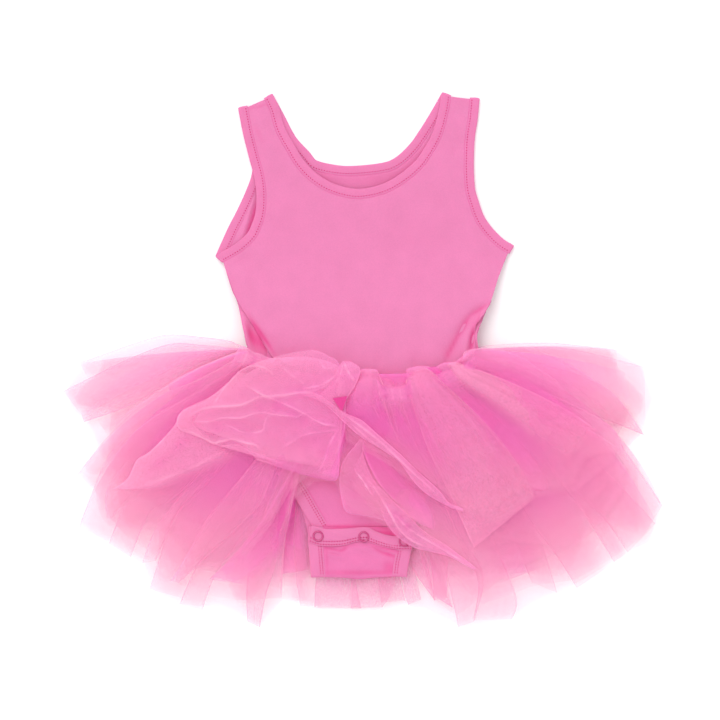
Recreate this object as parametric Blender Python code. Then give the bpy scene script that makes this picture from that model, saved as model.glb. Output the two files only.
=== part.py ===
"""Ballet tutu bodysuit for a small child, laid flat on its back.

The frame is in metres with +Z up.  +X runs to the right across the garment and +Y from the
crotch to the shoulders.  The origin is in the middle of the garment's box, on the surface
it lies on.  Sizes below are in millimetres and become metres when a mesh is made.
"""
import math

import bpy
from mathutils import Vector

MM = 0.001

# One layer of cloth and how layers lie on each other
WALL = 1.0           # thickness of a layer
SEAM_GAP = 0.3       # space between two pieces at a seam
LAYER_GAP = 0.4      # space between two jersey pieces that lie on each other
PANEL_GAP = 0.6      # space between the front and the back panel of the bodice
RUFFLE = 2.9         # height of a pleat's crest above the valley beside it
SETTLED = 0.5        # clearance of the lowest tier's folds from the surface
TIER_GAP = 0.9       # air between two tiers of tulle
TIER_PITCH = RUFFLE + WALL + TIER_GAP
NESTED = 0.9         # how far the two top plies sink between the pleats below them

# Heights of the undersides of the pile at the waist, from the surface up
BACK_PANEL = 3 * TIER_PITCH - TIER_GAP + LAYER_GAP
FRONT_PANEL = BACK_PANEL + WALL + PANEL_GAP
CROTCH_FLAP = FRONT_PANEL + WALL + LAYER_GAP
SNAP_TAPE = CROTCH_FLAP + WALL + SEAM_GAP
FRONT_TIERS = FRONT_PANEL + WALL + LAYER_GAP

BINDING = 8.3        # finished width of the neck, armhole and leg bindings
WAIST_RISE = 105.0   # length over which the bodice climbs on to the gathers
# How far the front panel stands above the back one, and where along and across the garment
BELLY = {"height": 2.5, "foot": -8.0, "rise": 60.0, "top": 215.0, "fall": 90.0, "middle": 3.0,
         "half": 124.0}

# Half ellipses that the waist seam and the gathers follow: middle, half width, end height, drop
WAIST = {
    "front": {"middle": 8.0, "half": 90.0, "ends": 10.0, "drop": 22.0},
    "back": {"middle": 0.5, "half": 100.0, "ends": 10.0, "drop": 13.5},
    "gathers_front": {"middle": 0.0, "half": 97.0, "ends": 9.0, "drop": 21.0},
    "gathers_back": {"middle": 0.0, "half": 97.0, "ends": 9.0, "drop": 22.0},
}
GATHER_SQUARE = 0.65  # power that makes the ends of the gathers squarer than an ellipse

# Sewing lines of the bodice panels, shoulder to shoulder or shoulder to side, as (x, y)
SEAM = {
    "front_neck": [(-81.5, 227.5), (-80.5, 217.5), (-75, 199), (-66, 182.5), (-57, 168), (-44, 155),
                   (-27.5, 145.5), (-5, 140.5), (18, 144.5), (36, 154), (51.5, 167), (62, 182),
                   (69, 196), (74.5, 216), (76.5, 229)],
    "back_neck": [(-81.5, 227.5), (-75.5, 210.5), (-65, 189.5), (-52.5, 175.5), (-45, 167),
                  (-30.5, 162.5), (-10.5, 160.5), (19, 163.5), (33.5, 169.5), (47, 182), (57, 196),
                  (67.5, 213), (76.5, 229)],
    "front_arm_left": [(-98.5, 222), (-96, 199), (-90.5, 177), (-86, 160.5), (-84, 143.5), (-85, 127),
                       (-88.5, 115.5), (-93.5, 105.5), (-104, 95.5), (-113.5, 89.5), (-121, 85.5)],
    "back_arm_left": [(-98.5, 222), (-95.5, 205), (-91, 189), (-87.5, 174), (-88.5, 159), (-94, 143.5),
                      (-102, 126), (-109, 112.5), (-116, 97), (-121, 85.5)],
    "arm_right": [(93.5, 227), (92, 210.5), (89.5, 194), (88.5, 171.5), (89.5, 149.5), (92.5, 137.5),
                  (98, 122), (106.5, 109.5), (117, 99), (126.5, 93)],
    "front_side_left": [(-121, 85.5), (-119, 78.5), (-112.5, 61), (-107, 49), (-94.5, 29.5), (-82, 10)],
    "back_side_left": [(-121, 85.5), (-119.5, 80), (-113.5, 61), (-108.5, 49.5), (-104, 29.5),
                       (-99.5, 10)],
    "front_side_right": [(126.5, 93), (118, 71.5), (110.5, 49), (102, 36), (98, 29), (98, 10)],
    "back_side_right": [(126.5, 93), (117, 71.5), (110, 49.5), (104, 35.5), (99.5, 22), (100.5, 10)],
    "front_leg": [(-92, -58), (-78, -80), (-56.5, -107.5), (-44, -128), (-34, -145)],
    "back_leg": [(-92, -58), (-80, -78), (-62, -98), (-48, -120), (-40, -145), (-37, -168),
                 (-36.5, -186)],
}
LEG_MIDDLE = -1.5    # the brief mirrors about this x
FLAP_LINE = (-186.0, -174.0, -162.0)  # y of the crotch fold, of the flap's middle and of its top
FLAP_HALF = 35.0
SIDE_ROWS = 3
LEG_ROWS = 7

ARM = {("front", "left"): SEAM["front_arm_left"], ("back", "left"): SEAM["back_arm_left"],
       ("front", "right"): SEAM["arm_right"], ("back", "right"): SEAM["arm_right"]}

# Rows of a bodice panel: along the neck line, on to the end of the armhole, then down the side
NECK_ROWS = 8
ARM_ROWS = 9
SIDE_SEAM_ROWS = 8
HALF_COLUMNS = 5     # columns from the side of a panel to its middle
BRIEF_COLUMNS = 2 * HALF_COLUMNS

# Shares of a tulle ply's length where its sections lie
TIER_SECTIONS = (0.0, 0.13, 0.36, 0.68, 1.0)
STEP_SHARE = 0.24    # steep side of a pleat as a share of the space to the next one
STEP_MOST = 5.0
STEP_LEAST = 1.2
STEP_LIMIT = 0.4     # the steep side never takes more than this share of the space
STEEPEST = 0.24      # depth of a pleat as a share of the space to the next one, where that is small
HEM_NOTCH = 5.0      # how far a valley ends short of the crests' points at the hem
NOTCH_SHARE = 0.3    # and the same as the most it is of the space to the next pleat
BACK_SHARE = 0.6     # height of a pleat's long back half way along, as a share of its crest
GATHER_SHARE = 0.35  # height of the pleats where they are gathered, as a share of the hem's
FULL_SHARE = 0.4     # share of a ply's length at which its pleats have their full height

# Each row of a tier is one pleat, from the garment's left side round the hem to its right:
# hem_x, hem_y, then bow, how far the fold line bends out half way, towards the next row
FOLD = {
    "short_back": [(-246, -3, -3), (-260, -27, -5), (-256, -43, -4), (-241, -55, -4), (-228, -82, -4),
                   (-208, -106, -2), (-183, -126, 0), (-152, -141, 0), (-112, -152, 0), (-68, -157, 0),
                   (-24, -159, 0), (20, -159, 0), (64, -156, 0), (106, -149, 0), (142, -137, 0),
                   (173, -120, 0), (200, -100, 0), (226, -80, 2), (243, -64, 3), (255, -35, 5),
                   (244, -6, 4), (221, 9, 3)],
    "middle_back": [(-248, -100, -16), (-234, -111, -13), (-222, -134, -10), (-205, -153, -6),
                    (-182, -169, -3), (-152, -180, 0), (-114, -187, 0), (-72, -189, 0), (-30, -188, 0),
                    (12, -188, 0), (54, -189, 0), (94, -188, 0), (132, -182, 0), (166, -170, 2),
                    (196, -153, 5), (220, -130, 9), (234, -100, 16)],
    "long_back": [(-247, -144, -24), (-219, -158, -14), (-191, -177, -8), (-185, -200, -5),
                  (-159, -212, -3), (-124, -215, 0), (-100, -227, 0), (-89, -232, 0), (-69, -207, 0),
                  (-42, -216, 0), (-7, -216, 0), (16, -217, 0), (40, -213, 0), (83, -233, 0),
                  (130, -225, 0), (170, -202, 4), (201, -185, 7), (230, -166, 10), (248, -158, 16),
                  (260, -125, 27)],
    "long_front": [(-222, -135, -16), (-201, -168, -9), (-178, -175, -5), (-156, -196, -3),
                   (-128, -205, 0), (-102, -208, 0), (-82, -198, 0), (-70, -158, 0), (-60, -122, 0),
                   (-42, -106, 0), (-22, -105, 0), (-4, -116, 0), (18, -132, 0), (46, -146, 0),
                   (66, -182, 0), (104, -212, 0), (147, -196, 3), (184, -190, 6), (216, -172, 10),
                   (238, -156, 15), (254, -140, 22)],
    "middle_front": [(-234, -108, -14), (-207, -128, -9), (-184, -148, -5), (-158, -162, -2),
                     (-128, -172, 0), (-100, -170, 0), (-80, -144, 0), (-63, -114, 0), (-44, -98, 0),
                     (-25, -104, 0), (-12, -128, 0), (10, -139, 0), (30, -150, 0), (56, -164, 0),
                     (98, -178, 0), (146, -174, 3), (185, -161, 6), (209, -138, 10), (230, -105, 16)],
    "short_front_right": [(-14, -70, 0), (18, -88, 0), (52, -112, 0), (86, -131, 0), (118, -142, 0),
                          (149, -119, 3), (186, -113, 4), (208, -93, 5), (226, -80, 6), (214, -54, 5),
                          (232, -34, 5), (226, -10, 4)],
    "lifted_front": [(-215, -111, -12), (-192, -116, -8), (-168, -111, -6), (-146, -103, -4),
                     (-122, -95, -2), (-98, -84, 0), (-78, -90, 0), (-58, -96, 0), (-38, -101, 0),
                     (-14, -98, 2), (22, -104, 5), (60, -116, 8), (87, -131, 10)],
}

# How each tier lies: the gathers it springs from, the share of them it takes, its underside at
# the waist, its extra height half way out, how far its gathers roll back and up over the seam
TIER = {
    "tulle_short_back": {"folds": "short_back", "gathers": "gathers_back", "start": 0.0, "end": 1.0,
                         "base": SETTLED, "puff": 0.0, "roll": 0.0, "turn": 1},
    "tulle_middle_back": {"folds": "middle_back", "gathers": "gathers_back", "start": 0.04, "end": 0.96,
                          "base": TIER_PITCH, "puff": 0.0, "roll": 0.0, "turn": -1},
    "tulle_long_back": {"folds": "long_back", "gathers": "gathers_back", "start": 0.05, "end": 0.95,
                        "base": 2 * TIER_PITCH, "puff": 0.0, "roll": 0.0, "turn": 1},
    "tulle_long_front": {"folds": "long_front", "gathers": "gathers_front", "start": 0.05, "end": 0.95,
                         "base": FRONT_TIERS, "puff": 5.0, "roll": 0.0, "turn": -1},
    "tulle_middle_front": {"folds": "middle_front", "gathers": "gathers_front", "start": 0.04,
                           "end": 0.96, "base": FRONT_TIERS + TIER_PITCH, "puff": 6.0, "roll": 0.0,
                           "turn": 1},
    "tulle_short_front": {"folds": "short_front_right", "gathers": "gathers_front", "start": 0.46,
                          "end": 1.0, "base": FRONT_TIERS + 2 * TIER_PITCH - NESTED, "puff": 7.0, "roll": 4.0,
                          "turn": -1},
    "tulle_lifted_front": {"folds": "lifted_front", "gathers": "gathers_front", "start": 0.02,
                           "end": 0.44, "base": FRONT_TIERS + 3 * TIER_PITCH - NESTED,
                           "puff": 9.0, "roll": 15.0, "turn": 1},
}
ROLL_END = 0.3       # share of a ply's length that rolls back over the waist seam
ROLL_LIFT = 0.45     # rise of a roll as a share of its length
PUFF_END = 190.0     # distance from the waist at which a tier has come down again

SNAP = {"names": ("left", "middle", "right"), "centres": ((-38.5, -152.5), (1.0, -153.0), (36.0, -157.0)),
        "outside": 4.75, "inside": 3.05, "height": 1.5, "edge": 0.2, "sides": 20}
# Section of a snap ring: share of its width from the hole outwards, share of its height
SNAP_SECTION = [(0.0, 0.0), (0.1, 0.75), (0.5, 1.0), (0.9, 0.75), (1.0, 0.0)]
TAPE_TOP = [(-46.5, -145.5), (-33.5, -147), (-18, -147), (1, -146), (14, -148.5), (26.5, -150.5),
            (43, -152)]
TAPE_BOTTOM = [(-46.5, -158.5), (-31, -161), (-15, -161), (1, -159.5), (14, -161.5), (26.5, -163.5),
               (43, -164.5)]

SHARP_ANGLE = math.radians(40)

JERSEY = (0.90, 0.26, 0.52, 1.0)
JERSEY_DARK = (0.87, 0.20, 0.46, 1.0)
TULLE = (0.92, 0.32, 0.58, 1.0)
SNAP_PINK = (0.85, 0.18, 0.42, 1.0)


def blend(a, b, share):
    """The point that lies share of the way from a to b."""
    return tuple(p + (q - p) * share for p, q in zip(a, b))


def smooth(share):
    """0 to 1 with soft ends."""
    share = min(max(share, 0.0), 1.0)
    return share * share * (3 - 2 * share)


def along(points, shares, finer=12):
    """Points at the given shares of the length of a smooth curve through points."""
    fine = []
    for k in range(len(points) - 1):
        before = points[max(k - 1, 0)]
        start, end = points[k], points[k + 1]
        after = points[min(k + 2, len(points) - 1)]
        for step in range(finer):
            t = step / finer
            fine.append(tuple(
                0.5 * (2 * b + (c - a) * t + (2 * a - 5 * b + 4 * c - d) * t * t
                       + (3 * b - 3 * c + d - a) * t * t * t)
                for a, b, c, d in zip(before, start, end, after)))
    fine.append(points[-1])
    lengths = [0.0]
    for a, b in zip(fine, fine[1:]):
        lengths.append(lengths[-1] + math.dist(a, b))
    found = []
    k = 0
    for share in shares:
        wanted = share * lengths[-1]
        while k < len(fine) - 2 and lengths[k + 1] < wanted:
            k += 1
        found.append(blend(fine[k], fine[k + 1], (wanted - lengths[k]) / (lengths[k + 1] - lengths[k])))
    return found


def even(count):
    """count + 1 shares from 0 to 1."""
    return [k / count for k in range(count + 1)]


def waist_point(which, share):
    """A point of the waist seam or of the gathers, from the left end to the right end."""
    line = WAIST[which]
    angle = math.pi * share
    return (line["middle"] - line["half"] * math.cos(angle), line["ends"] - line["drop"] * math.sin(angle))


def gather_point(which, share):
    """A point of the gathers: like the waist seam, with squarer ends."""
    line = WAIST[which]
    angle = math.pi * share
    across = math.copysign(abs(math.cos(angle)) ** GATHER_SQUARE, -math.cos(angle))
    fall = math.sin(angle) ** GATHER_SQUARE
    return (line["middle"] + line["half"] * across, line["ends"] - line["drop"] * fall)


def waist_height(which, x):
    """The y of the waist seam below a point at x."""
    line = WAIST[which]
    across = min(abs(x - line["middle"]) / line["half"], 1.0)
    return line["ends"] - line["drop"] * math.sqrt(1 - across * across)


def back_height(x, y):
    """Underside of the back panel: on the surface, then up on to the gathers at the waist."""
    return BACK_PANEL * smooth(1 - (y - waist_height("back", x)) / WAIST_RISE)


def front_height(x, y):
    """Underside of the front panel: on the back panel at its edges, a little fuller between."""
    lengthwise = smooth((y - BELLY["foot"]) / BELLY["rise"]) * smooth((BELLY["top"] - y) / BELLY["fall"])
    across = max(0.0, 1 - ((x - BELLY["middle"]) / BELLY["half"]) ** 2)
    return back_height(x, y) + FRONT_PANEL - BACK_PANEL + BELLY["height"] * lengthwise * across


def front_brief_height(x, y):
    return FRONT_PANEL


def back_brief_height(x, y):
    return BACK_PANEL


def outwards(points, side):
    """Unit vectors square to a polyline; side 1 is to the left of its direction, -1 to the right."""
    found = []
    last = len(points) - 1
    for k in range(last + 1):
        a, b = points[max(k - 1, 0)], points[min(k + 1, last)]
        length = math.dist(a, b)
        found.append((-(b[1] - a[1]) / length * side, (b[0] - a[0]) / length * side))
    return found


def material(name, colour, roughness, metallic=0.0):
    made = bpy.data.materials.new(name)
    made.use_nodes = True
    shader = made.node_tree.nodes["Principled BSDF"]
    shader.inputs["Base Color"].default_value = colour
    shader.inputs["Roughness"].default_value = roughness
    shader.inputs["Metallic"].default_value = metallic
    return made


def wall(name, upper, lower, finish, ring=False):
    """A closed wall between two grids of points, a list of columns each; a ring joins its ends."""
    columns, rows = len(upper), len(upper[0])
    points = [Vector(p) * MM for grid in (upper, lower) for column in grid for p in column]
    under = columns * rows

    def at(i, j, layer):
        return (i % columns) * rows + j + layer * under

    faces = []
    spans = columns if ring else columns - 1
    for i in range(spans):
        for j in range(rows - 1):
            faces.append((at(i, j, 0), at(i, j + 1, 0), at(i + 1, j + 1, 0), at(i + 1, j, 0)))
            faces.append((at(i, j, 1), at(i + 1, j, 1), at(i + 1, j + 1, 1), at(i, j + 1, 1)))
        for j, turned in ((0, False), (rows - 1, True)):
            edge = (at(i, j, 0), at(i + 1, j, 0), at(i + 1, j, 1), at(i, j, 1))
            faces.append(edge[::-1] if turned else edge)
    if not ring:
        for i, turned in ((0, True), (columns - 1, False)):
            for j in range(rows - 1):
                edge = (at(i, j, 0), at(i, j + 1, 0), at(i, j + 1, 1), at(i, j, 1))
                faces.append(edge[::-1] if turned else edge)
    mesh = bpy.data.meshes.new(name)
    mesh.from_pydata([tuple(p) for p in points], [], faces)
    mesh.update()
    signed = sum(
        a.co.dot(b.co.cross(c.co))
        for polygon in mesh.polygons
        for a, b, c in [[mesh.vertices[polygon.vertices[k]] for k in (0, 1, 2)],
                        [mesh.vertices[polygon.vertices[k]] for k in (0, 2, 3)]])
    if signed < 0:
        mesh.flip_normals()
    mesh.shade_smooth()
    mesh.set_sharp_from_angle(angle=SHARP_ANGLE)
    mesh.materials.append(finish)
    made = bpy.data.objects.new(name, mesh)
    bpy.context.scene.collection.objects.link(made)
    return made


def lifted(grid, height):
    """A flat grid set on a height, and the same one a cloth's thickness above it."""
    lower = [[(x, y, height(x, y)) for x, y in column] for column in grid]
    upper = [[(x, y, z + WALL) for x, y, z in column] for column in lower]
    return upper, lower


def half_panel(side, hand):
    """Half of a bodice panel, a list of columns from its side to its middle, and its two seams."""
    arm = along(ARM[side, hand], even(ARM_ROWS))
    flank = along(SEAM[side + "_side_" + hand], even(SIDE_SEAM_ROWS))
    outer = arm + flank[1:]
    neck_line = SEAM[side + "_neck"][::1 if hand == "left" else -1]
    neck = along(neck_line, [0.5 * k / NECK_ROWS for k in range(NECK_ROWS + 1)])
    bottom = waist_point(side, 0.5)
    down = len(outer) - 1 - NECK_ROWS
    inner = neck + [blend(neck[-1], bottom, k / down) for k in range(1, down + 1)]
    columns = []
    for i in range(HALF_COLUMNS + 1):
        angle = math.pi / 2 * i / HALF_COLUMNS
        sag = WAIST[side]["drop"] * (math.sin(angle) + math.cos(angle) - 1)
        column = []
        for j, (a, b) in enumerate(zip(outer, inner)):
            x, y = blend(a, b, 1 - math.cos(angle))
            column.append((x, y - sag * max(0.0, (j - ARM_ROWS) / SIDE_SEAM_ROWS) ** 2))
        columns.append(column)
    return columns, neck, arm


def bodice(side, height, finish):
    """A bodice panel of two halves, sewn lines returned: neck, left armhole, right armhole."""
    left, neck_left, arm_left = half_panel(side, "left")
    right, neck_right, arm_right = half_panel(side, "right")
    middle = neck_left[-1]
    right[-1] = [middle if j == NECK_ROWS else p for j, p in enumerate(right[-1])]
    for j in range(NECK_ROWS, len(left[-1])):
        right[-1][j] = left[-1][j]
    grids = [[[(x, y, height(x, y) + WALL / 2) for x, y in column] for column in half]
             for half in (left, right[::-1])]
    sheet("bodice_" + side, grids, finish)
    return neck_left + neck_right[-2::-1], arm_left, arm_right


def ribbon_side(seam, square, height):
    """Stations of a binding along a seam: its sewn edge and its free edge."""
    stations = []
    for (x, y), (nx, ny) in zip(seam, square):
        sewn = (x + nx * SEAM_GAP, y + ny * SEAM_GAP)
        free = (x + nx * BINDING, y + ny * BINDING)
        stations.append([(*p, height(*p) + WALL / 2) for p in (sewn, free)])
    return stations


def matched(over, under, k):
    """Gives two runs of a binding the same square direction where they meet in a fold."""
    x, y = over[k][0] + under[k][0], over[k][1] + under[k][1]
    length = math.hypot(x, y)
    over[k] = under[k] = (x / length, y / length)


def past(square, a, b):
    """The direction square to a binding's width that leads on from a to b."""
    ahead = (-square[1], square[0])
    sign = 1 if ahead[0] * (b[0] - a[0]) + ahead[1] * (b[1] - a[1]) > 0 else -1
    return (ahead[0] * sign, ahead[1] * sign)


def fold_over(before, after, heading, steps=4):
    """Stations that carry a binding round a fold, from its upper half to its lower one or back."""
    stations = []
    for k in range(1, steps):
        angle = math.pi * k / steps
        share = (1 - math.cos(angle)) / 2
        pair = []
        for a, b in zip(before, after):
            middle = blend(a, b, share)
            reach = abs(a[2] - b[2]) / 2 * math.sin(angle)
            pair.append((middle[0] + heading[0] * reach, middle[1] + heading[1] * reach, middle[2]))
        face = math.cos(angle) if before[0][2] > after[0][2] else -math.cos(angle)
        stations.append((pair, (heading[0] * math.sin(angle), heading[1] * math.sin(angle), face)))
    return stations


def ribbon(name, stations, finish, ring):
    """A flat ribbon through stations of a pair of edge points and the way its face looks."""
    upper, lower = [], []
    for pair, face in stations:
        step = Vector(face) * (WALL / 2)
        upper.append([tuple(Vector(p) + step) for p in pair])
        lower.append([tuple(Vector(p) - step) for p in pair])
    wall(name, upper, lower, finish, ring)


def faced(stations, up):
    return [(pair, (0.0, 0.0, 1.0 if up else -1.0)) for pair in stations]


def ring_binding(name, front, back, side, finish):
    """A binding that runs down the front seam, folds, runs back along the back one and folds again."""
    square_front, square_back = outwards(front, side), outwards(back, side)
    matched(square_front, square_back, 0)
    matched(square_front, square_back, -1)
    over = ribbon_side(front, square_front, front_height)
    under = ribbon_side(back, square_back, back_height)[::-1]
    end = fold_over(over[-1], under[0], past(square_front[-1], front[-2], front[-1]))
    start = fold_over(under[-1], over[0], past(square_front[0], front[1], front[0]))
    ribbon(name, faced(over, True) + end + faced(under, False) + start, finish, True)


def mirrored(points):
    return [(2 * LEG_MIDDLE - x, y) for x, y in points]


def leg_binding(name, mirror, finish):
    """A binding from the crotch up the front leg line, round the side and down the back, then round
    the crotch fold and up the flap."""
    front = along(SEAM["front_leg"], even(LEG_ROWS))[::-1]
    back = along(SEAM["back_leg"], even(LEG_ROWS))
    flap = [(-FLAP_HALF + LEG_MIDDLE, y) for y in FLAP_LINE]
    if mirror:
        front, back, flap = mirrored(front), mirrored(back), mirrored(flap)
    side = -1 if mirror else 1
    square_front, square_back = outwards(front, side)[::-1], outwards(back, -side)
    matched(square_front, square_back, 0)
    square_front = square_front[::-1]
    square_back[-1] = (-side, 0.0)
    over = ribbon_side(front, square_front, front_brief_height)
    under = ribbon_side(back, square_back, back_brief_height)
    top = ribbon_side(flap, outwards(flap, side), lambda x, y: CROTCH_FLAP)
    at_side = fold_over(over[-1], under[0], past(square_front[-1], front[-2], front[-1]))
    at_crotch = fold_over(under[-1], top[0], (0.0, -1.0))
    ribbon(name, faced(over, True) + at_side + faced(under, False) + at_crotch + faced(top, True),
           finish, False)


def brief_edge(leg, which, end):
    """One edge of a brief panel: from its end of the waist seam to the leg line and along it."""
    x, y = waist_point(which, end)
    top = (x, y - SEAM_GAP)
    return [blend(top, leg[0], k / SIDE_ROWS) for k in range(SIDE_ROWS)] + along(leg, even(LEG_ROWS))


def brief_grid(leg, which):
    """Columns across a brief panel, from the waist seam down to where its leg lines end."""
    left = brief_edge(leg, which, 0)
    right = brief_edge(mirrored(leg), which, 1)
    grid = []
    for i in range(BRIEF_COLUMNS + 1):
        share = i / BRIEF_COLUMNS
        sag = WAIST[which]["drop"] * math.sin(math.pi * share)
        across = (1 - math.cos(math.pi * share)) / 2
        column = []
        for j, (a, b) in enumerate(zip(left, right)):
            x, y = blend(a, b, across)
            column.append((x, y - sag * (1 - j / (len(left) - 1)) ** 2))
        grid.append(column)
    return grid


def brief_front(finish):
    upper, lower = lifted(brief_grid(SEAM["front_leg"], "front"), front_brief_height)
    wall("brief_front", upper, lower, finish)


def brief_back(finish):
    """The back of the brief runs under the front one, folds at the crotch and comes up as a flap."""
    grid = brief_grid(SEAM["back_leg"], "back")
    radius = (CROTCH_FLAP - BACK_PANEL) / 2
    middle = (CROTCH_FLAP + BACK_PANEL + WALL) / 2
    upper, lower = [], []
    for column in grid:
        x = column[-1][0]
        inner = [(px, py, BACK_PANEL + WALL) for px, py in column]
        outer = [(px, py, BACK_PANEL) for px, py in column]
        for k in range(1, 4):
            angle = math.pi * k / 4
            for half, line in ((-WALL / 2, inner), (WALL / 2, outer)):
                line.append((x, FLAP_LINE[0] - (radius + half) * math.sin(angle),
                             middle - (radius + half) * math.cos(angle)))
        for y in FLAP_LINE:
            inner.append((x, y, CROTCH_FLAP))
            outer.append((x, y, CROTCH_FLAP + WALL))
        upper.append(outer)
        lower.append(inner)
    wall("brief_back", upper, lower, finish)


def snap_tape(finish):
    """The folded placket across the crotch, on the flap's top edge and the front panel's end."""
    shares = even(12)
    grid = [[a, blend(a, b, 0.5), b]
            for a, b in zip(along(TAPE_TOP, shares), along(TAPE_BOTTOM, shares))]
    upper, lower = lifted(grid, lambda x, y: SNAP_TAPE)
    wall("snap_tape", upper, lower, finish)


def snap(name, centre, finish):
    """An open ring, turned: rounded on top, flat where it is pressed on the tape."""
    bottom = SNAP_TAPE + WALL + SEAM_GAP
    width = SNAP["outside"] - SNAP["inside"]
    rise = SNAP["height"] - SNAP["edge"]
    profile = [(SNAP["inside"] + width * a, SNAP["edge"] + rise * b) for a, b in SNAP_SECTION]
    upper, lower = [], []
    for k in range(SNAP["sides"]):
        angle = 2 * math.pi * k / SNAP["sides"]
        ring = [(centre[0] + r * math.cos(angle), centre[1] + r * math.sin(angle), bottom + h)
                for r, h in profile]
        upper.append(ring)
        lower.append([(x, y, bottom) for x, y, z in ring])
    wall(name, upper, lower, finish, True)


def fold_line(row, root, share):
    """Where a pleat's edge lies at a share of its length, the direction to the next pleat and how
    far out from the waist it is."""
    hem = row[:2]
    length = math.dist(root, hem)
    across = (-(hem[1] - root[1]) / length, (hem[0] - root[0]) / length)
    bend = row[2] * 4 * share * (1 - share)
    x, y = blend(root, hem, share)
    return x + across[0] * bend, y + across[1] * bend, across, share * length


def tier(name, lie, finish):
    """A gathered ply of tulle: pleats side by side, each a crest, a steep side down to a valley and
    a long back up to the next crest."""
    rows = FOLD[lie["folds"]]
    last = len(rows) - 1
    span = lie["end"] - lie["start"]
    roots = [gather_point(lie["gathers"], lie["start"] + span * k / last) for k in range(last + 1)]

    def pleat(k, share):
        """A point of pleat line k and what it needs: its ruffle's height there."""
        x, y, across, out = fold_line(rows[k], roots[k], share)
        z = lie["base"] + WALL / 2 + lie["puff"] * math.sin(math.pi * min(out / PUFF_END, 1.0))
        if 0 < share < ROLL_END:
            swell = lie["roll"] * math.sqrt(math.sin(math.pi * (k + 0.5) / (last + 1)))
            y += swell
            z += swell * ROLL_LIFT
        full = GATHER_SHARE + (1 - GATHER_SHARE) * smooth(share / FULL_SHARE)
        return (x, y, z), across, RUFFLE * full

    order = list(range(last + 1))[::lie["turn"]]
    columns = []
    for k, ahead in zip(order, order[1:]):
        crest, valley, back = [], [], []
        for share in TIER_SECTIONS:
            here, across, ruffle = pleat(k, share)
            there, _, next_ruffle = pleat(ahead, share)
            room = abs((there[0] - here[0]) * across[0] + (there[1] - here[1]) * across[1])
            low = min(1.0, STEEPEST * room / RUFFLE)
            step = min(max(STEP_SHARE * room, STEP_LEAST), STEP_MOST) / math.dist(here, there)
            foot = blend(here, there, min(step, STEP_LIMIT))
            if share == 1:
                notch = min(HEM_NOTCH, NOTCH_SHARE * room) / math.dist(foot[:2], roots[k])
                foot = (*blend(foot, roots[k], notch), foot[2])
            middle = blend(foot, there, 0.5)
            crest.append((here[0], here[1], here[2] + ruffle))
            valley.append((foot[0], foot[1], foot[2] + ruffle * (1 - low)))
            back.append((middle[0], middle[1], middle[2] + next_ruffle * (1 - low * (1 - BACK_SHARE))))
        columns += [crest, valley, back]
    columns.append([(x, y, z + ruffle) for (x, y, z), _, ruffle in
                    (pleat(order[-1], share) for share in TIER_SECTIONS)])
    sheet(name, [columns], finish)


def sheet(name, grids, finish):
    """A wall of cloth round grids of points that lie in the middle of its thickness; points that
    two grids share are one."""
    points, known, faces = [], {}, []
    for columns in grids:
        index = []
        for column in columns:
            index.append([])
            for point in column:
                key = tuple(round(c, 4) for c in point)
                if key not in known:
                    known[key] = len(points)
                    points.append(tuple(c * MM for c in point))
                index[-1].append(known[key])
        faces += [(a[j], b[j], b[j + 1], a[j + 1])
                  for a, b in zip(index, index[1:]) for j in range(len(a) - 1)]
    mesh = bpy.data.meshes.new(name)
    mesh.from_pydata(points, [], faces)
    mesh.update()
    mesh.shade_smooth()
    mesh.materials.append(finish)
    made = bpy.data.objects.new(name, mesh)
    bpy.context.scene.collection.objects.link(made)
    thicken = made.modifiers.new("thickness", "SOLIDIFY")
    thicken.thickness = WALL * MM
    thicken.offset = 0.0
    thicken.use_even_offset = True
    thicken.use_rim = True
    return made


def build():
    for old in list(bpy.data.objects):
        bpy.data.objects.remove(old, do_unlink=True)
    jersey = material("jersey", JERSEY, 0.8)
    trim = material("binding", JERSEY_DARK, 0.8)
    net = material("tulle", TULLE, 0.7)
    ring = material("snap_ring", SNAP_PINK, 0.3)

    front_neck, front_left, front_right = bodice("front", front_height, jersey)
    back_neck, back_left, back_right = bodice("back", back_height, jersey)
    ring_binding("neck_binding", front_neck, back_neck, 1, trim)
    ring_binding("armhole_binding_left", front_left, back_left, -1, trim)
    ring_binding("armhole_binding_right", front_right, back_right, 1, trim)

    brief_front(jersey)
    brief_back(jersey)
    leg_binding("leg_binding_left", False, trim)
    leg_binding("leg_binding_right", True, trim)
    snap_tape(trim)
    for name, centre in zip(SNAP["names"], SNAP["centres"]):
        snap("snap_" + name, centre, ring)
    for name, lie in TIER.items():
        tier(name, lie, net)


build()
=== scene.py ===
import math
import bmesh
import bpy
import numpy as np
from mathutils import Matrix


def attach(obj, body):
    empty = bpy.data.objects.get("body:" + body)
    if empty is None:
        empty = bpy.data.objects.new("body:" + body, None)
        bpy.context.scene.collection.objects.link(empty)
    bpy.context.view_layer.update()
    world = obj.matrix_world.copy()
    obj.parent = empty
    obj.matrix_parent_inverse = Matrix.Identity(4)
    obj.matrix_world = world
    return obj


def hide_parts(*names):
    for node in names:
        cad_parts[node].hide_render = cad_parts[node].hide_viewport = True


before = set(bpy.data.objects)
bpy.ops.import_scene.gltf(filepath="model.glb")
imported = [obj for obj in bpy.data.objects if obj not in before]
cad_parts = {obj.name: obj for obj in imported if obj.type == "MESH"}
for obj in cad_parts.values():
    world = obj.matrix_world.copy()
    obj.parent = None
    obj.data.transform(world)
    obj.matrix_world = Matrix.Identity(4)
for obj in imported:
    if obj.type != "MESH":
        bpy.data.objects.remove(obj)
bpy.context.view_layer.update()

mm = 0.001

# Heights of the pile at the waist, the same as the solids have
pile = {"wall": 1.0, "backPanel": 13.9, "frontPanel": 15.5, "flap": 16.9, "tape": 18.2}


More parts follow.
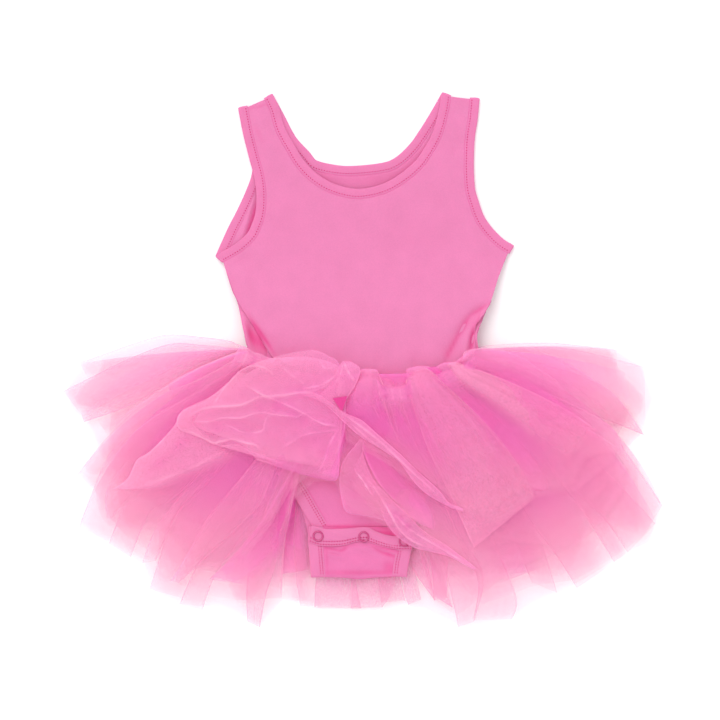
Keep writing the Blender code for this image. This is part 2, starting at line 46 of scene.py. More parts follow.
def smooth(share):
    # 0 to 1 with soft ends: 3 s squared less 2 s cubed
    share = np.clip(share, 0.0, 1.0)
    return share * share * (3 - 2 * share)


def bump(distance, width):
    # a soft bell: 1 on the line, half at 0.83 of the width away
    return np.exp(-(distance / width) ** 2)


def squared(value, power):
    # value to a power with its sign kept: a power below 1 squares the corners of an oval
    return np.sign(value) * np.abs(value) ** power


def turns(count):
    # that many even angles of a full turn
    return 2 * np.pi * np.arange(count) / count


def fromCorners(values, u, v):
    # a value blended evenly from those at the top left, top right, bottom left and bottom right
    return (values[0] * (1 - u) + values[1] * u) * (1 - v) + (values[2] * (1 - u) + values[3] * u) * v


def neighbours(points):
    # the point before and the point after each stretch of a line
    return np.vstack([points[:1], points[:-2]]), np.vstack([points[2:], points[-1:]])


def readAt(wanted, run, columns):
    # each column of numbers read at places along a run
    return np.stack([np.interp(wanted, run, columns[:, k]) for k in range(columns.shape[1])], axis=-1)


def cubic(before, a, b, after, t):
    # the cubic from a to b whose slope at each is half the step between the points on its two sides
    return 0.5 * (2 * a + (b - before) * t + (2 * before - 5 * a + 4 * b - after) * t ** 2
                  + (3 * a - 3 * b + after - before) * t ** 3)


def pointsOf(numbers, columns=2):
    # rows of x, y out of one run of numbers
    return np.reshape(np.asarray(numbers, float), (-1, columns))


def throughPoints(points, shares, finer=24):
    # a cubic through the points, read at shares of its own length
    p = pointsOf(points)
    before, after = neighbours(p)
    t = np.linspace(0, 1, finer, endpoint=False)[None, :, None]
    fine = cubic(before[:, None], p[:-1, None], p[1:, None], after[:, None], t)
    fine = np.vstack([fine.reshape(-1, p.shape[1]), p[-1:]])
    length = runOf(fine)
    return readAt(np.asarray(shares) * length[-1], length, fine)


def smoothLine(points, shares):
    # through the points, one knot to each, so that the two edges of a ply keep step
    before, after = neighbours(points)
    at = np.clip(np.asarray(shares) * (len(points) - 1), 0, len(points) - 1 - 1e-9)
    k, t = at.astype(int), (at % 1)[:, None]
    return cubic(before[k], points[k], points[k + 1], after[k], t)


def runOf(points):
    # how far along a line of points each one is
    return np.concatenate([[0], np.cumsum(np.linalg.norm(np.diff(points, axis=0), axis=1))])


def meshOf(name, points, faces, finish, uv=None, values=None):
    # points in millimetres, faces as rows of four corners; uv per point, values as named numbers per point
    mesh = bpy.data.meshes.new(name)
    points, faces = np.asarray(points, float).reshape(-1, 3), np.asarray(faces, int)
    mesh.vertices.add(len(points))
    mesh.vertices.foreach_set("co", (points * mm).ravel())
    mesh.loops.add(faces.size)
    mesh.loops.foreach_set("vertex_index", faces.ravel())
    mesh.polygons.add(len(faces))
    mesh.polygons.foreach_set("loop_start", np.arange(0, faces.size, faces.shape[1]))
    mesh.update(calc_edges=True)
    mesh.validate()
    mesh.shade_smooth()
    if uv is not None:
        layer = mesh.uv_layers.new(name="cloth")
        corners = np.empty(len(mesh.loops), int)
        mesh.loops.foreach_get("vertex_index", corners)
        layer.data.foreach_set("uv", np.asarray(uv, float).reshape(-1, 2)[corners].ravel())
    for key, value in (values or {}).items():
        kept = mesh.attributes.new(key, "FLOAT", "POINT")
        kept.data.foreach_set("value", np.asarray(value, float).ravel())
    mesh.materials.append(finish)
    piece = bpy.data.objects.new(name, mesh)
    bpy.context.scene.collection.objects.link(piece)
    return piece


def place(piece, node=None):
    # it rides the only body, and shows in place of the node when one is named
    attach(piece, "root")
    if node:
        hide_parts(node)
    return piece


def changeMesh(piece, change):
    # opens the mesh for one change
    edit = bmesh.new()
    edit.from_mesh(piece.data)
    edit.verts.ensure_lookup_table()
    change(edit)
    edit.to_mesh(piece.data)
    edit.free()
    return piece


def weld(piece):
    # the two halves share their middle line
    return changeMesh(piece, lambda edit: bmesh.ops.remove_doubles(edit, verts=edit.verts, dist=0.02 * mm))


def outward(piece):
    # every face of a closed shape faces out
    return changeMesh(piece, lambda edit: bmesh.ops.recalc_face_normals(edit, faces=edit.faces))


def capEnds(piece, count, around):
    # one flat face closes each end of a tube
    def cap(edit):
        for first in (0, (count - 1) * around):
            edit.faces.new([edit.verts[first + k] for k in range(around)])
    return changeMesh(piece, cap)


def gridFaces(rows, columns, around=False, ring=False):
    # The quads of a grid of points kept row by row.  around joins the last column to the first,
    # as in a tube, and ring the last row to the first.
    i = np.arange(rows if ring else rows - 1)[:, None]
    j = np.arange(columns if around else columns - 1)[None, :]
    here, following, beside = i * columns, (i + 1) % rows * columns, (j + 1) % columns
    return np.stack([here + j, following + j, following + beside, here + beside], axis=-1).reshape(-1, 4)


def shaderOf(made):
    # the one surface shader of a material
    return made.node_tree.nodes["Principled BSDF"]


def plain(name, colour, roughness, shine=0.15):
    # one even colour
    made = bpy.data.materials.new(name)
    made.use_nodes = True
    inputs = shaderOf(made).inputs
    inputs["Base Color"].default_value = (*colour, 1)
    inputs["Roughness"].default_value = roughness
    inputs["Specular IOR Level"].default_value = shine
    return made


# Stage, light and camera
studio = {"width": 0.6264, "centreX": -0.0022, "distance": 4.0, "sensor": 36.0, "world": 1.05, "sun": 1.1,
          "sunTilt": 38, "sunTurn": 35, "sunSpread": 40, "bounces": 9, "clearBounces": 48,
          "floorSide": 12, "floorHeight": -0.0006, "floorColour": (0.97, 0.97, 0.97)}


def buildStudio():
    # a pale floor, an even white sky, one wide soft sun and a camera straight above with a long lens
    scene = bpy.context.scene
    scene.view_settings.view_transform = "Standard"
    scene.cycles.transparent_max_bounces = studio["clearBounces"]
    scene.cycles.diffuse_bounces = studio["bounces"]
    bpy.ops.mesh.primitive_plane_add(size=studio["floorSide"], location=(0, 0, studio["floorHeight"]))
    floor = bpy.context.object
    floor.name = "floor"
    floor.data.materials.append(plain("paper", studio["floorColour"], 1.0, 0.0))
    world = bpy.data.worlds.new("studio")
    world.use_nodes = True
    sky = world.node_tree.nodes["Background"]
    sky.inputs["Color"].default_value, sky.inputs["Strength"].default_value = (1, 1, 1, 1), studio["world"]
    scene.world = world
    lamp = bpy.data.lights.new("softSun", "SUN")
    lamp.energy = studio["sun"]
    lamp.angle = math.radians(studio["sunSpread"])
    sun = bpy.data.objects.new("softSun", lamp)
    sun.rotation_euler = (math.radians(-studio["sunTilt"]), 0, math.radians(studio["sunTurn"]))
    scene.collection.objects.link(sun)
    lens = bpy.data.cameras.new("camera")
    lens.sensor_width = studio["sensor"]
    lens.lens = studio["sensor"] * studio["distance"] / studio["width"]
    camera = bpy.data.objects.new("camera", lens)
    camera.location = (studio["centreX"], 0, studio["distance"])
    scene.collection.objects.link(camera)
    scene.camera = camera


buildStudio()
print("studio ready")


# Each cloth's colour, how rough it is and how much light passes into it
cloths = {"jersey": {"colour": (0.715, 0.200, 0.398), "roughness": 0.85, "light": 0.12},
          "brief": {"colour": (0.730, 0.170, 0.382), "roughness": 0.85, "light": 0.12},
          "trim": {"colour": (0.700, 0.188, 0.385), "roughness": 0.85, "light": 0.1}}
# The knit: waves for each metre across and down, how strongly loops, grain and slow patches change its tone,
# and the tint of its painted shade in creases and shaded places
knit = {"wales": 1150.0, "rows": 900.0, "rowShare": 0.4, "wander": 240.0, "wanderTurn": 5.0, "grain": 900.0,
        "tone": 0.035, "patch": 60.0, "patchTone": 0.03, "height": 0.00006, "shadeTint": (0.96, 0.42, 0.66),
        "lightRadius": (1.0, 0.25, 0.45), "lightScale": 0.006}
# The net: its colour where thin, its deeper colour where packed and in the shade of plies above (partly
# painted shade), its painted shade colour, the cover of one ply, and its cells
net = {"colour": (0.90, 0.365, 0.56), "deepColour": (0.90, 0.17, 0.57), "shade": (0.66, 0.06, 0.26),
       "roughness": 0.9, "cover": 0.17, "packedPower": 0.45, "cell": 760.0, "cellMiddle": 0.22, "thread": 0.22,
       "mottle": 210.0, "mottleShare": 0.06}
# Colour, roughness and shine of the small parts
paints = {"sewingThread": ((0.60, 0.02, 0.16), 0.7), "seamThread": ((0.72, 0.125, 0.34), 0.8),
          "snapEnamel": ((0.52, 0.03, 0.18), 0.2, 0.6)}
snapCoat = 0.6


def newGroup(name, inputs, outputs):
    # an empty group with its sockets, and its two end nodes
    group = bpy.data.node_groups.new(name, "ShaderNodeTree")
    for way, sockets in (("INPUT", inputs), ("OUTPUT", outputs)):
        for label, kind in sockets.items():
            group.interface.new_socket(name=label, in_out=way, socket_type="NodeSocket" + kind)
    return group, group.nodes.new("NodeGroupInput"), group.nodes.new("NodeGroupOutput")


def setInputs(tree, node, inputs):
    # each input takes a value or another node's output
    for key, value in inputs.items():
        if isinstance(value, bpy.types.NodeSocket):
            tree.links.new(value, node.inputs[key])
        else:
            node.inputs[key].default_value = value


def addNode(tree, kind, settings=(), inputs=()):
    # a shader node with its settings and inputs
    node = tree.nodes.new("ShaderNode" + kind)
    for key, value in dict(settings).items():
        setattr(node, key, value)
    setInputs(tree, node, dict(inputs))
    return node


def mathOf(tree, kind, *values):
    # one step of arithmetic on numbers or outputs
    return addNode(tree, "Math", {"operation": kind}, enumerate(values)).outputs[0]


def noiseOf(tree, where, scale, detail=2.0):
    # soft noise from 0 to 1
    return addNode(tree, "TexNoise", inputs={"Scale": scale, "Detail": detail, "Vector": where}).outputs["Fac"]


def evenNoise(tree, where, scale, strength, detail=2.0):
    # noise about nought: (noise - 0.5) * 4 * strength
    middled = mathOf(tree, "SUBTRACT", noiseOf(tree, where, scale, detail), 0.5)
    return mathOf(tree, "MULTIPLY", middled, 4 * strength)


def pointValue(tree, name):
    # a value kept on the points of a mesh
    return addNode(tree, "Attribute", {"attribute_name": name}).outputs["Fac"]


def knitGroup():
    # Loops are sine wales down the cloth that wander with a noise, and softer sine rows across it.
    # The tone is 1 + loops + grain + a slow drift; the Shade input is the cloth's own colour, and creases and
    # shaded places are tinted deeper by the points' depth as painted shade.
    group, given, out = newGroup("fineKnit", {"Shade": "Color"}, {"Color": "Color", "Height": "Float"})
    where = addNode(group, "TexCoord").outputs["Object"]
    x, y = addNode(group, "SeparateXYZ", inputs={0: where}).outputs[:2]
    wander = mathOf(group, "MULTIPLY", noiseOf(group, where, knit["wander"]), knit["wanderTurn"])
    wale = mathOf(group, "SINE", mathOf(group, "MULTIPLY_ADD", x, knit["wales"] * 2 * math.pi, wander))
    row = mathOf(group, "SINE", mathOf(group, "MULTIPLY", y, knit["rows"] * 2 * math.pi))
    loop = mathOf(group, "MULTIPLY_ADD", row, knit["rowShare"], wale)
    noise = mathOf(group, "ADD", evenNoise(group, where, knit["grain"], knit["tone"]),
                   evenNoise(group, where, knit["patch"], knit["patchTone"]))
    loops = mathOf(group, "ADD", mathOf(group, "MULTIPLY", loop, knit["tone"] * 0.5), 1.0)
    # painted shade: the cloth's colour is multiplied by the shade tint as far as the points are deep
    tinted = addNode(group, "Mix", {"data_type": "RGBA", "blend_type": "MULTIPLY"},
                     {"Factor": pointValue(group, "deep"), "A": given.outputs["Shade"],
                      "B": (*knit["shadeTint"], 1)})
    toned = addNode(group, "VectorMath", {"operation": "SCALE"},
                    {0: tinted.outputs["Result"], "Scale": mathOf(group, "ADD", noise, loops)})
    setInputs(group, out, {"Color": toned.outputs[0], "Height": mathOf(group, "MULTIPLY", loop, 0.5)})
    return group


def netGroup():
    # The cover on the points is multiplied by 1 + threads + mottle: threads are the edges of small cells.
    # The colour goes from thin to packed and shaded as the points' depth goes from 0 to 1, and on to the
    # painted shade colour at 2; below 1 the depth is partly packed cloth, partly painted shade.
    group, _, out = newGroup("softNet", {}, {"Cover": "Float", "Color": "Color"})
    where = addNode(group, "TexCoord").outputs["UV"]
    cells = addNode(group, "TexVoronoi", {"feature": "DISTANCE_TO_EDGE"}, {"Scale": net["cell"], "Vector": where})
    thread = mathOf(group, "MULTIPLY", mathOf(group, "SUBTRACT", net["cellMiddle"], cells.outputs["Distance"]),
                    4 * net["thread"])
    mottle = evenNoise(group, where, net["mottle"], net["mottleShare"], 4.0)
    share = mathOf(group, "ADD", mathOf(group, "ADD", thread, mottle), 1.0)
    deep = pointValue(group, "deep")
    # partly packed cloth, partly painted shade: the colour deepens with depth, then turns to painted shade past 1
    packed = addNode(group, "Mix", {"data_type": "RGBA"},
                     {"Factor": deep, "A": (*net["colour"], 1), "B": (*net["deepColour"], 1)})
    shaded = addNode(group, "Mix", {"data_type": "RGBA"}, {"Factor": mathOf(group, "SUBTRACT", deep, 1.0),
                                                           "A": packed.outputs["Result"], "B": (*net["shade"], 1)})
    setInputs(group, out, {"Cover": mathOf(group, "MULTIPLY", pointValue(group, "cover"), share),
                           "Color": shaded.outputs["Result"]})
    return group


def knitted(name, cloth, group):
    # the knit's tone on the cloth's colour, its height as a fine bump, and a little light passing in
    made = plain(name, cloth["colour"], cloth["roughness"])
    tree = made.node_tree
    weave = addNode(tree, "Group", {"node_tree": group}, {"Shade": (*cloth["colour"], 1)})
    bumps = addNode(tree, "Bump", inputs={"Distance": knit["height"], "Height": weave.outputs["Height"]})
    setInputs(tree, shaderOf(made), {
        "Base Color": weave.outputs["Color"], "Normal": bumps.outputs["Normal"],
        "Subsurface Weight": cloth["light"], "Subsurface Radius": knit["lightRadius"],
        "Subsurface Scale": knit["lightScale"]})
    return made


def tulleFinish(group):
    # the net's cover is its alpha
    made = plain("softTulle", net["colour"], net["roughness"], 0.0)
    weave = addNode(made.node_tree, "Group", {"node_tree": group}).outputs
    setInputs(made.node_tree, shaderOf(made), {"Alpha": weave["Cover"], "Base Color": weave["Color"]})
    return made


fineKnit = knitGroup()
softTulle = tulleFinish(netGroup())
jersey = knitted("stretchJersey", cloths["jersey"], fineKnit)
briefJersey = knitted("briefJersey", cloths["brief"], fineKnit)
trim = knitted("jerseyBinding", cloths["trim"], fineKnit)
threadFinish, seamFinish, enamel = (plain(name, *paint) for name, paint in paints.items())
shaderOf(enamel).inputs["Coat Weight"].default_value = snapCoat
print("cloths ready")

# Tiers of tulle
# The waist seam as the gathers and as the panels meet it: half an ellipse that falls below its ends
waist = {"gathersFront": {"middle": 0.0, "half": 97.0, "ends": 9.0, "drop": 21.0},
         "gathersBack": {"middle": 0.0, "half": 97.0, "ends": 9.0, "drop": 22.0},
         "front": {"middle": 8.0, "half": 90.0, "ends": 10.0, "drop": 26.0},
         "back": {"middle": 0.5, "half": 100.0, "ends": 10.0, "drop": 13.5},
         "square": 0.65}


def gatherPoints(which, share):
    # an ellipse below the waist with squarer ends, from the left end to the right end
    line = waist[which]
    angle = np.pi * np.clip(share, 0, 1)
    across, fall = squared(-np.cos(angle), waist["square"]), np.sin(angle) ** waist["square"]
    return line["middle"] + line["half"] * across, line["ends"] - line["drop"] * fall


# The points of the hem where pleats end, and how far each fold line bends: x,y,bow
hems = {
    "shortBack": [-246,-3,-3, -260,-27,-5, -256,-43,-4, -241,-55,-4, -228,-82,-4, -208,-106,-2, -183,-126,0,
        -152,-141,0, -112,-152,0, -68,-157,0, -24,-159,0, 20,-159,0, 64,-156,0, 106,-149,0, 142,-137,0,
        173,-120,0, 200,-100,0, 226,-80,2, 243,-64,3, 255,-35,5, 244,-6,4, 221,9,3],
    "middleBack": [-248,-100,-16, -234,-111,-13, -222,-134,-10, -205,-153,-6, -182,-169,-3, -152,-180,0,
        -114,-187,0, -72,-189,0, -30,-188,0, 12,-188,0, 54,-189,0, 94,-188,0, 132,-182,0, 166,-170,2, 196,-153,5,
        220,-130,9, 234,-100,16],
    "longBack": [-247,-144,-24, -219,-158,-14, -191,-177,-8, -185,-200,-5, -159,-212,-3, -124,-215,0, -100,-227,0,
        -89,-232,0, -69,-207,0, -42,-216,0, -7,-216,0, 16,-217,0, 40,-213,0, 83,-233,0, 130,-225,0, 170,-202,4,
        201,-185,7, 230,-166,10, 248,-158,16, 260,-125,27],
    "longFront": [-222,-135,-16, -201,-168,-9, -178,-175,-5, -156,-196,-3, -128,-205,0, -102,-208,0, -82,-198,0,
        -70,-158,0, -60,-122,0, -42,-106,0, -22,-105,0, -4,-116,0, 18,-132,0, 46,-146,0, 66,-182,0, 104,-212,0,
        147,-196,3, 184,-190,6, 216,-172,10, 238,-156,15, 254,-140,22],
    "middleFront": [-234,-108,-14, -207,-128,-9, -184,-148,-5, -158,-162,-2, -128,-172,0, -100,-170,0, -80,-144,0,
        -63,-114,0, -44,-98,0, -25,-104,0, -12,-128,0, 10,-139,0, 30,-150,0, 56,-164,0, 98,-178,0, 146,-174,3,
        185,-161,6, 209,-138,10, 230,-105,16],
    "shortFront": [-14,-70,0, 18,-88,0, 52,-112,0, 86,-131,0, 118,-142,0, 149,-119,3, 186,-113,4, 208,-93,5,
        226,-80,6, 214,-54,5, 232,-34,5, 226,-10,4],
}

# Each tier: its node, its hem, the gathers it springs from and the share of them where it starts and
# ends, its height at the waist, its puff half way out, how deep its colour is at the waist (partly packed
# cloth, partly painted shade), how much it thins to the left, and its plies as (how far short of the hem,
# shift of the folds, height)
tierRows = {
    "tulleShortBack": ("tulle_short_back", "shortBack", "gathersBack", 0.0, 1.0, 0.5, 0.0, 0.5, 0,
                       [(0, 0.0, 0.0), (16, 0.4, 1.3)]),
    "tulleMiddleBack": ("tulle_middle_back", "middleBack", "gathersBack", 0.04, 0.96, 4.9, 0.0, 0.9, 0,
                        [(0, 0.0, 0.0), (14, 0.45, 1.3)]),
    "tulleLongBack": ("tulle_long_back", "longBack", "gathersBack", 0.05, 0.95, 9.7, 0.0, 0.9, 0,
                      [(0, 0.0, 0.0), (24, 0.55, 1.3)]),
    "tulleLongFront": ("tulle_long_front", "longFront", "gathersFront", 0.05, 0.95, 17.2, 5.0, 0.9, 0.35,
                       [(0, 0.0, 0.0), (14, 0.5, 1.3)]),
    "tulleMiddleFront": ("tulle_middle_front", "middleFront", "gathersFront", 0.04, 0.96, 22.0, 6.0, 0.8, 0.6,
                         [(0, 0.0, 0.0), (12, 0.5, 1.3)]),
    "tulleShortFront": ("tulle_short_front", "shortFront", "gathersFront", 0.46, 1.0, 25.9, 7.0, 0.7, 0,
                        [(0, 0.0, 0.0), (10, 0.5, 1.3)]),
}
tierKeys = ("node", "hem", "gathers", "start", "end", "base", "puff", "deep", "thin", "plies")
# What the tiers' folds share
pleat = {"pitch": 0.09, "rows": 40, "wave": 1.5, "waveTurn": 2.6, "waveEnd": 0.5, "puffEnd": 190.0, "gather": 0.9,
         "gatherEnd": 0.35, "gathersPerSpace": 1.6, "halfWaist": 100.0, "shortTurn": 1.3, "shortShift": 9.0,
         "thinEnd": 0.35, "hemThin": 0.6, "hemFade": 0.02, "deepFrom": 0.98, "deepOver": 0.5, "takeUp": 0.85}


def plyOf(tier, short, shift, height):
    # A gathered ply.  Each column is the straight line from the gathers to its place along the hem,
    # bent sideways by bow * 4 r (1 - r), with r the share of the way down.
    # Its height is base + puff * sin(pi * down / puffEnd) + a slow wave + the gathers near the waist.
    hem = pointsOf(hems[tier["hem"]], 3)
    last = len(hem) - 1
    t = np.linspace(0, 1, pleat["rows"])
    spot = np.linspace(0, last, int(np.ceil(last / pleat["pitch"])) + 1)
    spot = np.repeat(spot[:, None], pleat["rows"], axis=1)
    hemX, hemY, bow = (np.interp(spot, np.arange(last + 1), hem[:, c]) for c in range(3))
    span = (tier["end"] - tier["start"]) / last
    rootX, rootY = gatherPoints(tier["gathers"], tier["start"] + span * spot)
    rootSpace = np.pi * pleat["halfWaist"] * span
    hemSpace = np.hypot(*np.gradient(hem[:, :2], axis=0).T).mean()
    length = np.hypot(hemX - rootX, hemY - rootY)
    shorter = short * (0.5 + np.sin(spot * pleat["shortTurn"] + shift * pleat["shortShift"] + tier["base"]) ** 2)
    reach = t[None, :] * (1 - shorter / length)
    alongX, alongY = (hemX - rootX) / length, (hemY - rootY) / length
    bend = bow * 4 * reach * (1 - reach)
    x = rootX + (hemX - rootX) * reach - alongY * bend
    y = rootY + (hemY - rootY) * reach + alongX * bend
    down = reach * length
    wave = pleat["wave"] * (1 + np.sin(spot * pleat["waveTurn"] + tier["base"] + 2 * reach))
    gathers = pleat["gather"] * (1 + np.sin(2 * np.pi * spot * pleat["gathersPerSpace"] + shift * 5))
    z = (tier["base"] + height + tier["puff"] * np.sin(np.pi * np.minimum(down / pleat["puffEnd"], 1))
         + wave * smooth(reach / pleat["waveEnd"]) + gathers * (1 - smooth(reach / pleat["gatherEnd"])))
    # cloth is packed closer where it is gathered than at its hem
    packed = (hemSpace / (rootSpace * (1 - reach) + hemSpace * reach)) ** net["packedPower"]
    cover = 1 - (1 - net["cover"]) ** packed
    cover = cover * (1 - tier["thin"] * (1 - smooth(spot / (pleat["thinEnd"] * last))))
    cover = cover * (1 - pleat["hemThin"] * smooth((t[None, :] - 1 + pleat["hemFade"]) / pleat["hemFade"]))
    # the colour deepens from the hem to the waist: partly packed cloth, partly painted shade under the plies above
    deep = smooth((pleat["deepFrom"] - reach) / pleat["deepOver"]) * tier["deep"]
    return np.stack([x, y, z], axis=-1), cover, deep, np.stack([spot * hemSpace, down], axis=-1)


def buildTier(name, tier):
    # its plies in turn; the sheet is as wide as its waved hem and as deep as its longest fold
    for k, (short, shift, height) in enumerate(tier["plies"]):
        points, cover, deep, uv = plyOf(tier, short, shift, height)
        piece = meshOf(name + "Ply" + str(k + 1), points, gridFaces(*points.shape[:2]), softTulle, uv * mm,
                       {"cover": cover, "deep": deep})
        place(piece, None if k else tier["node"])


for name, row in tierRows.items():
    buildTier(name, dict(zip(tierKeys, row)))
    print("tier laid:", name)
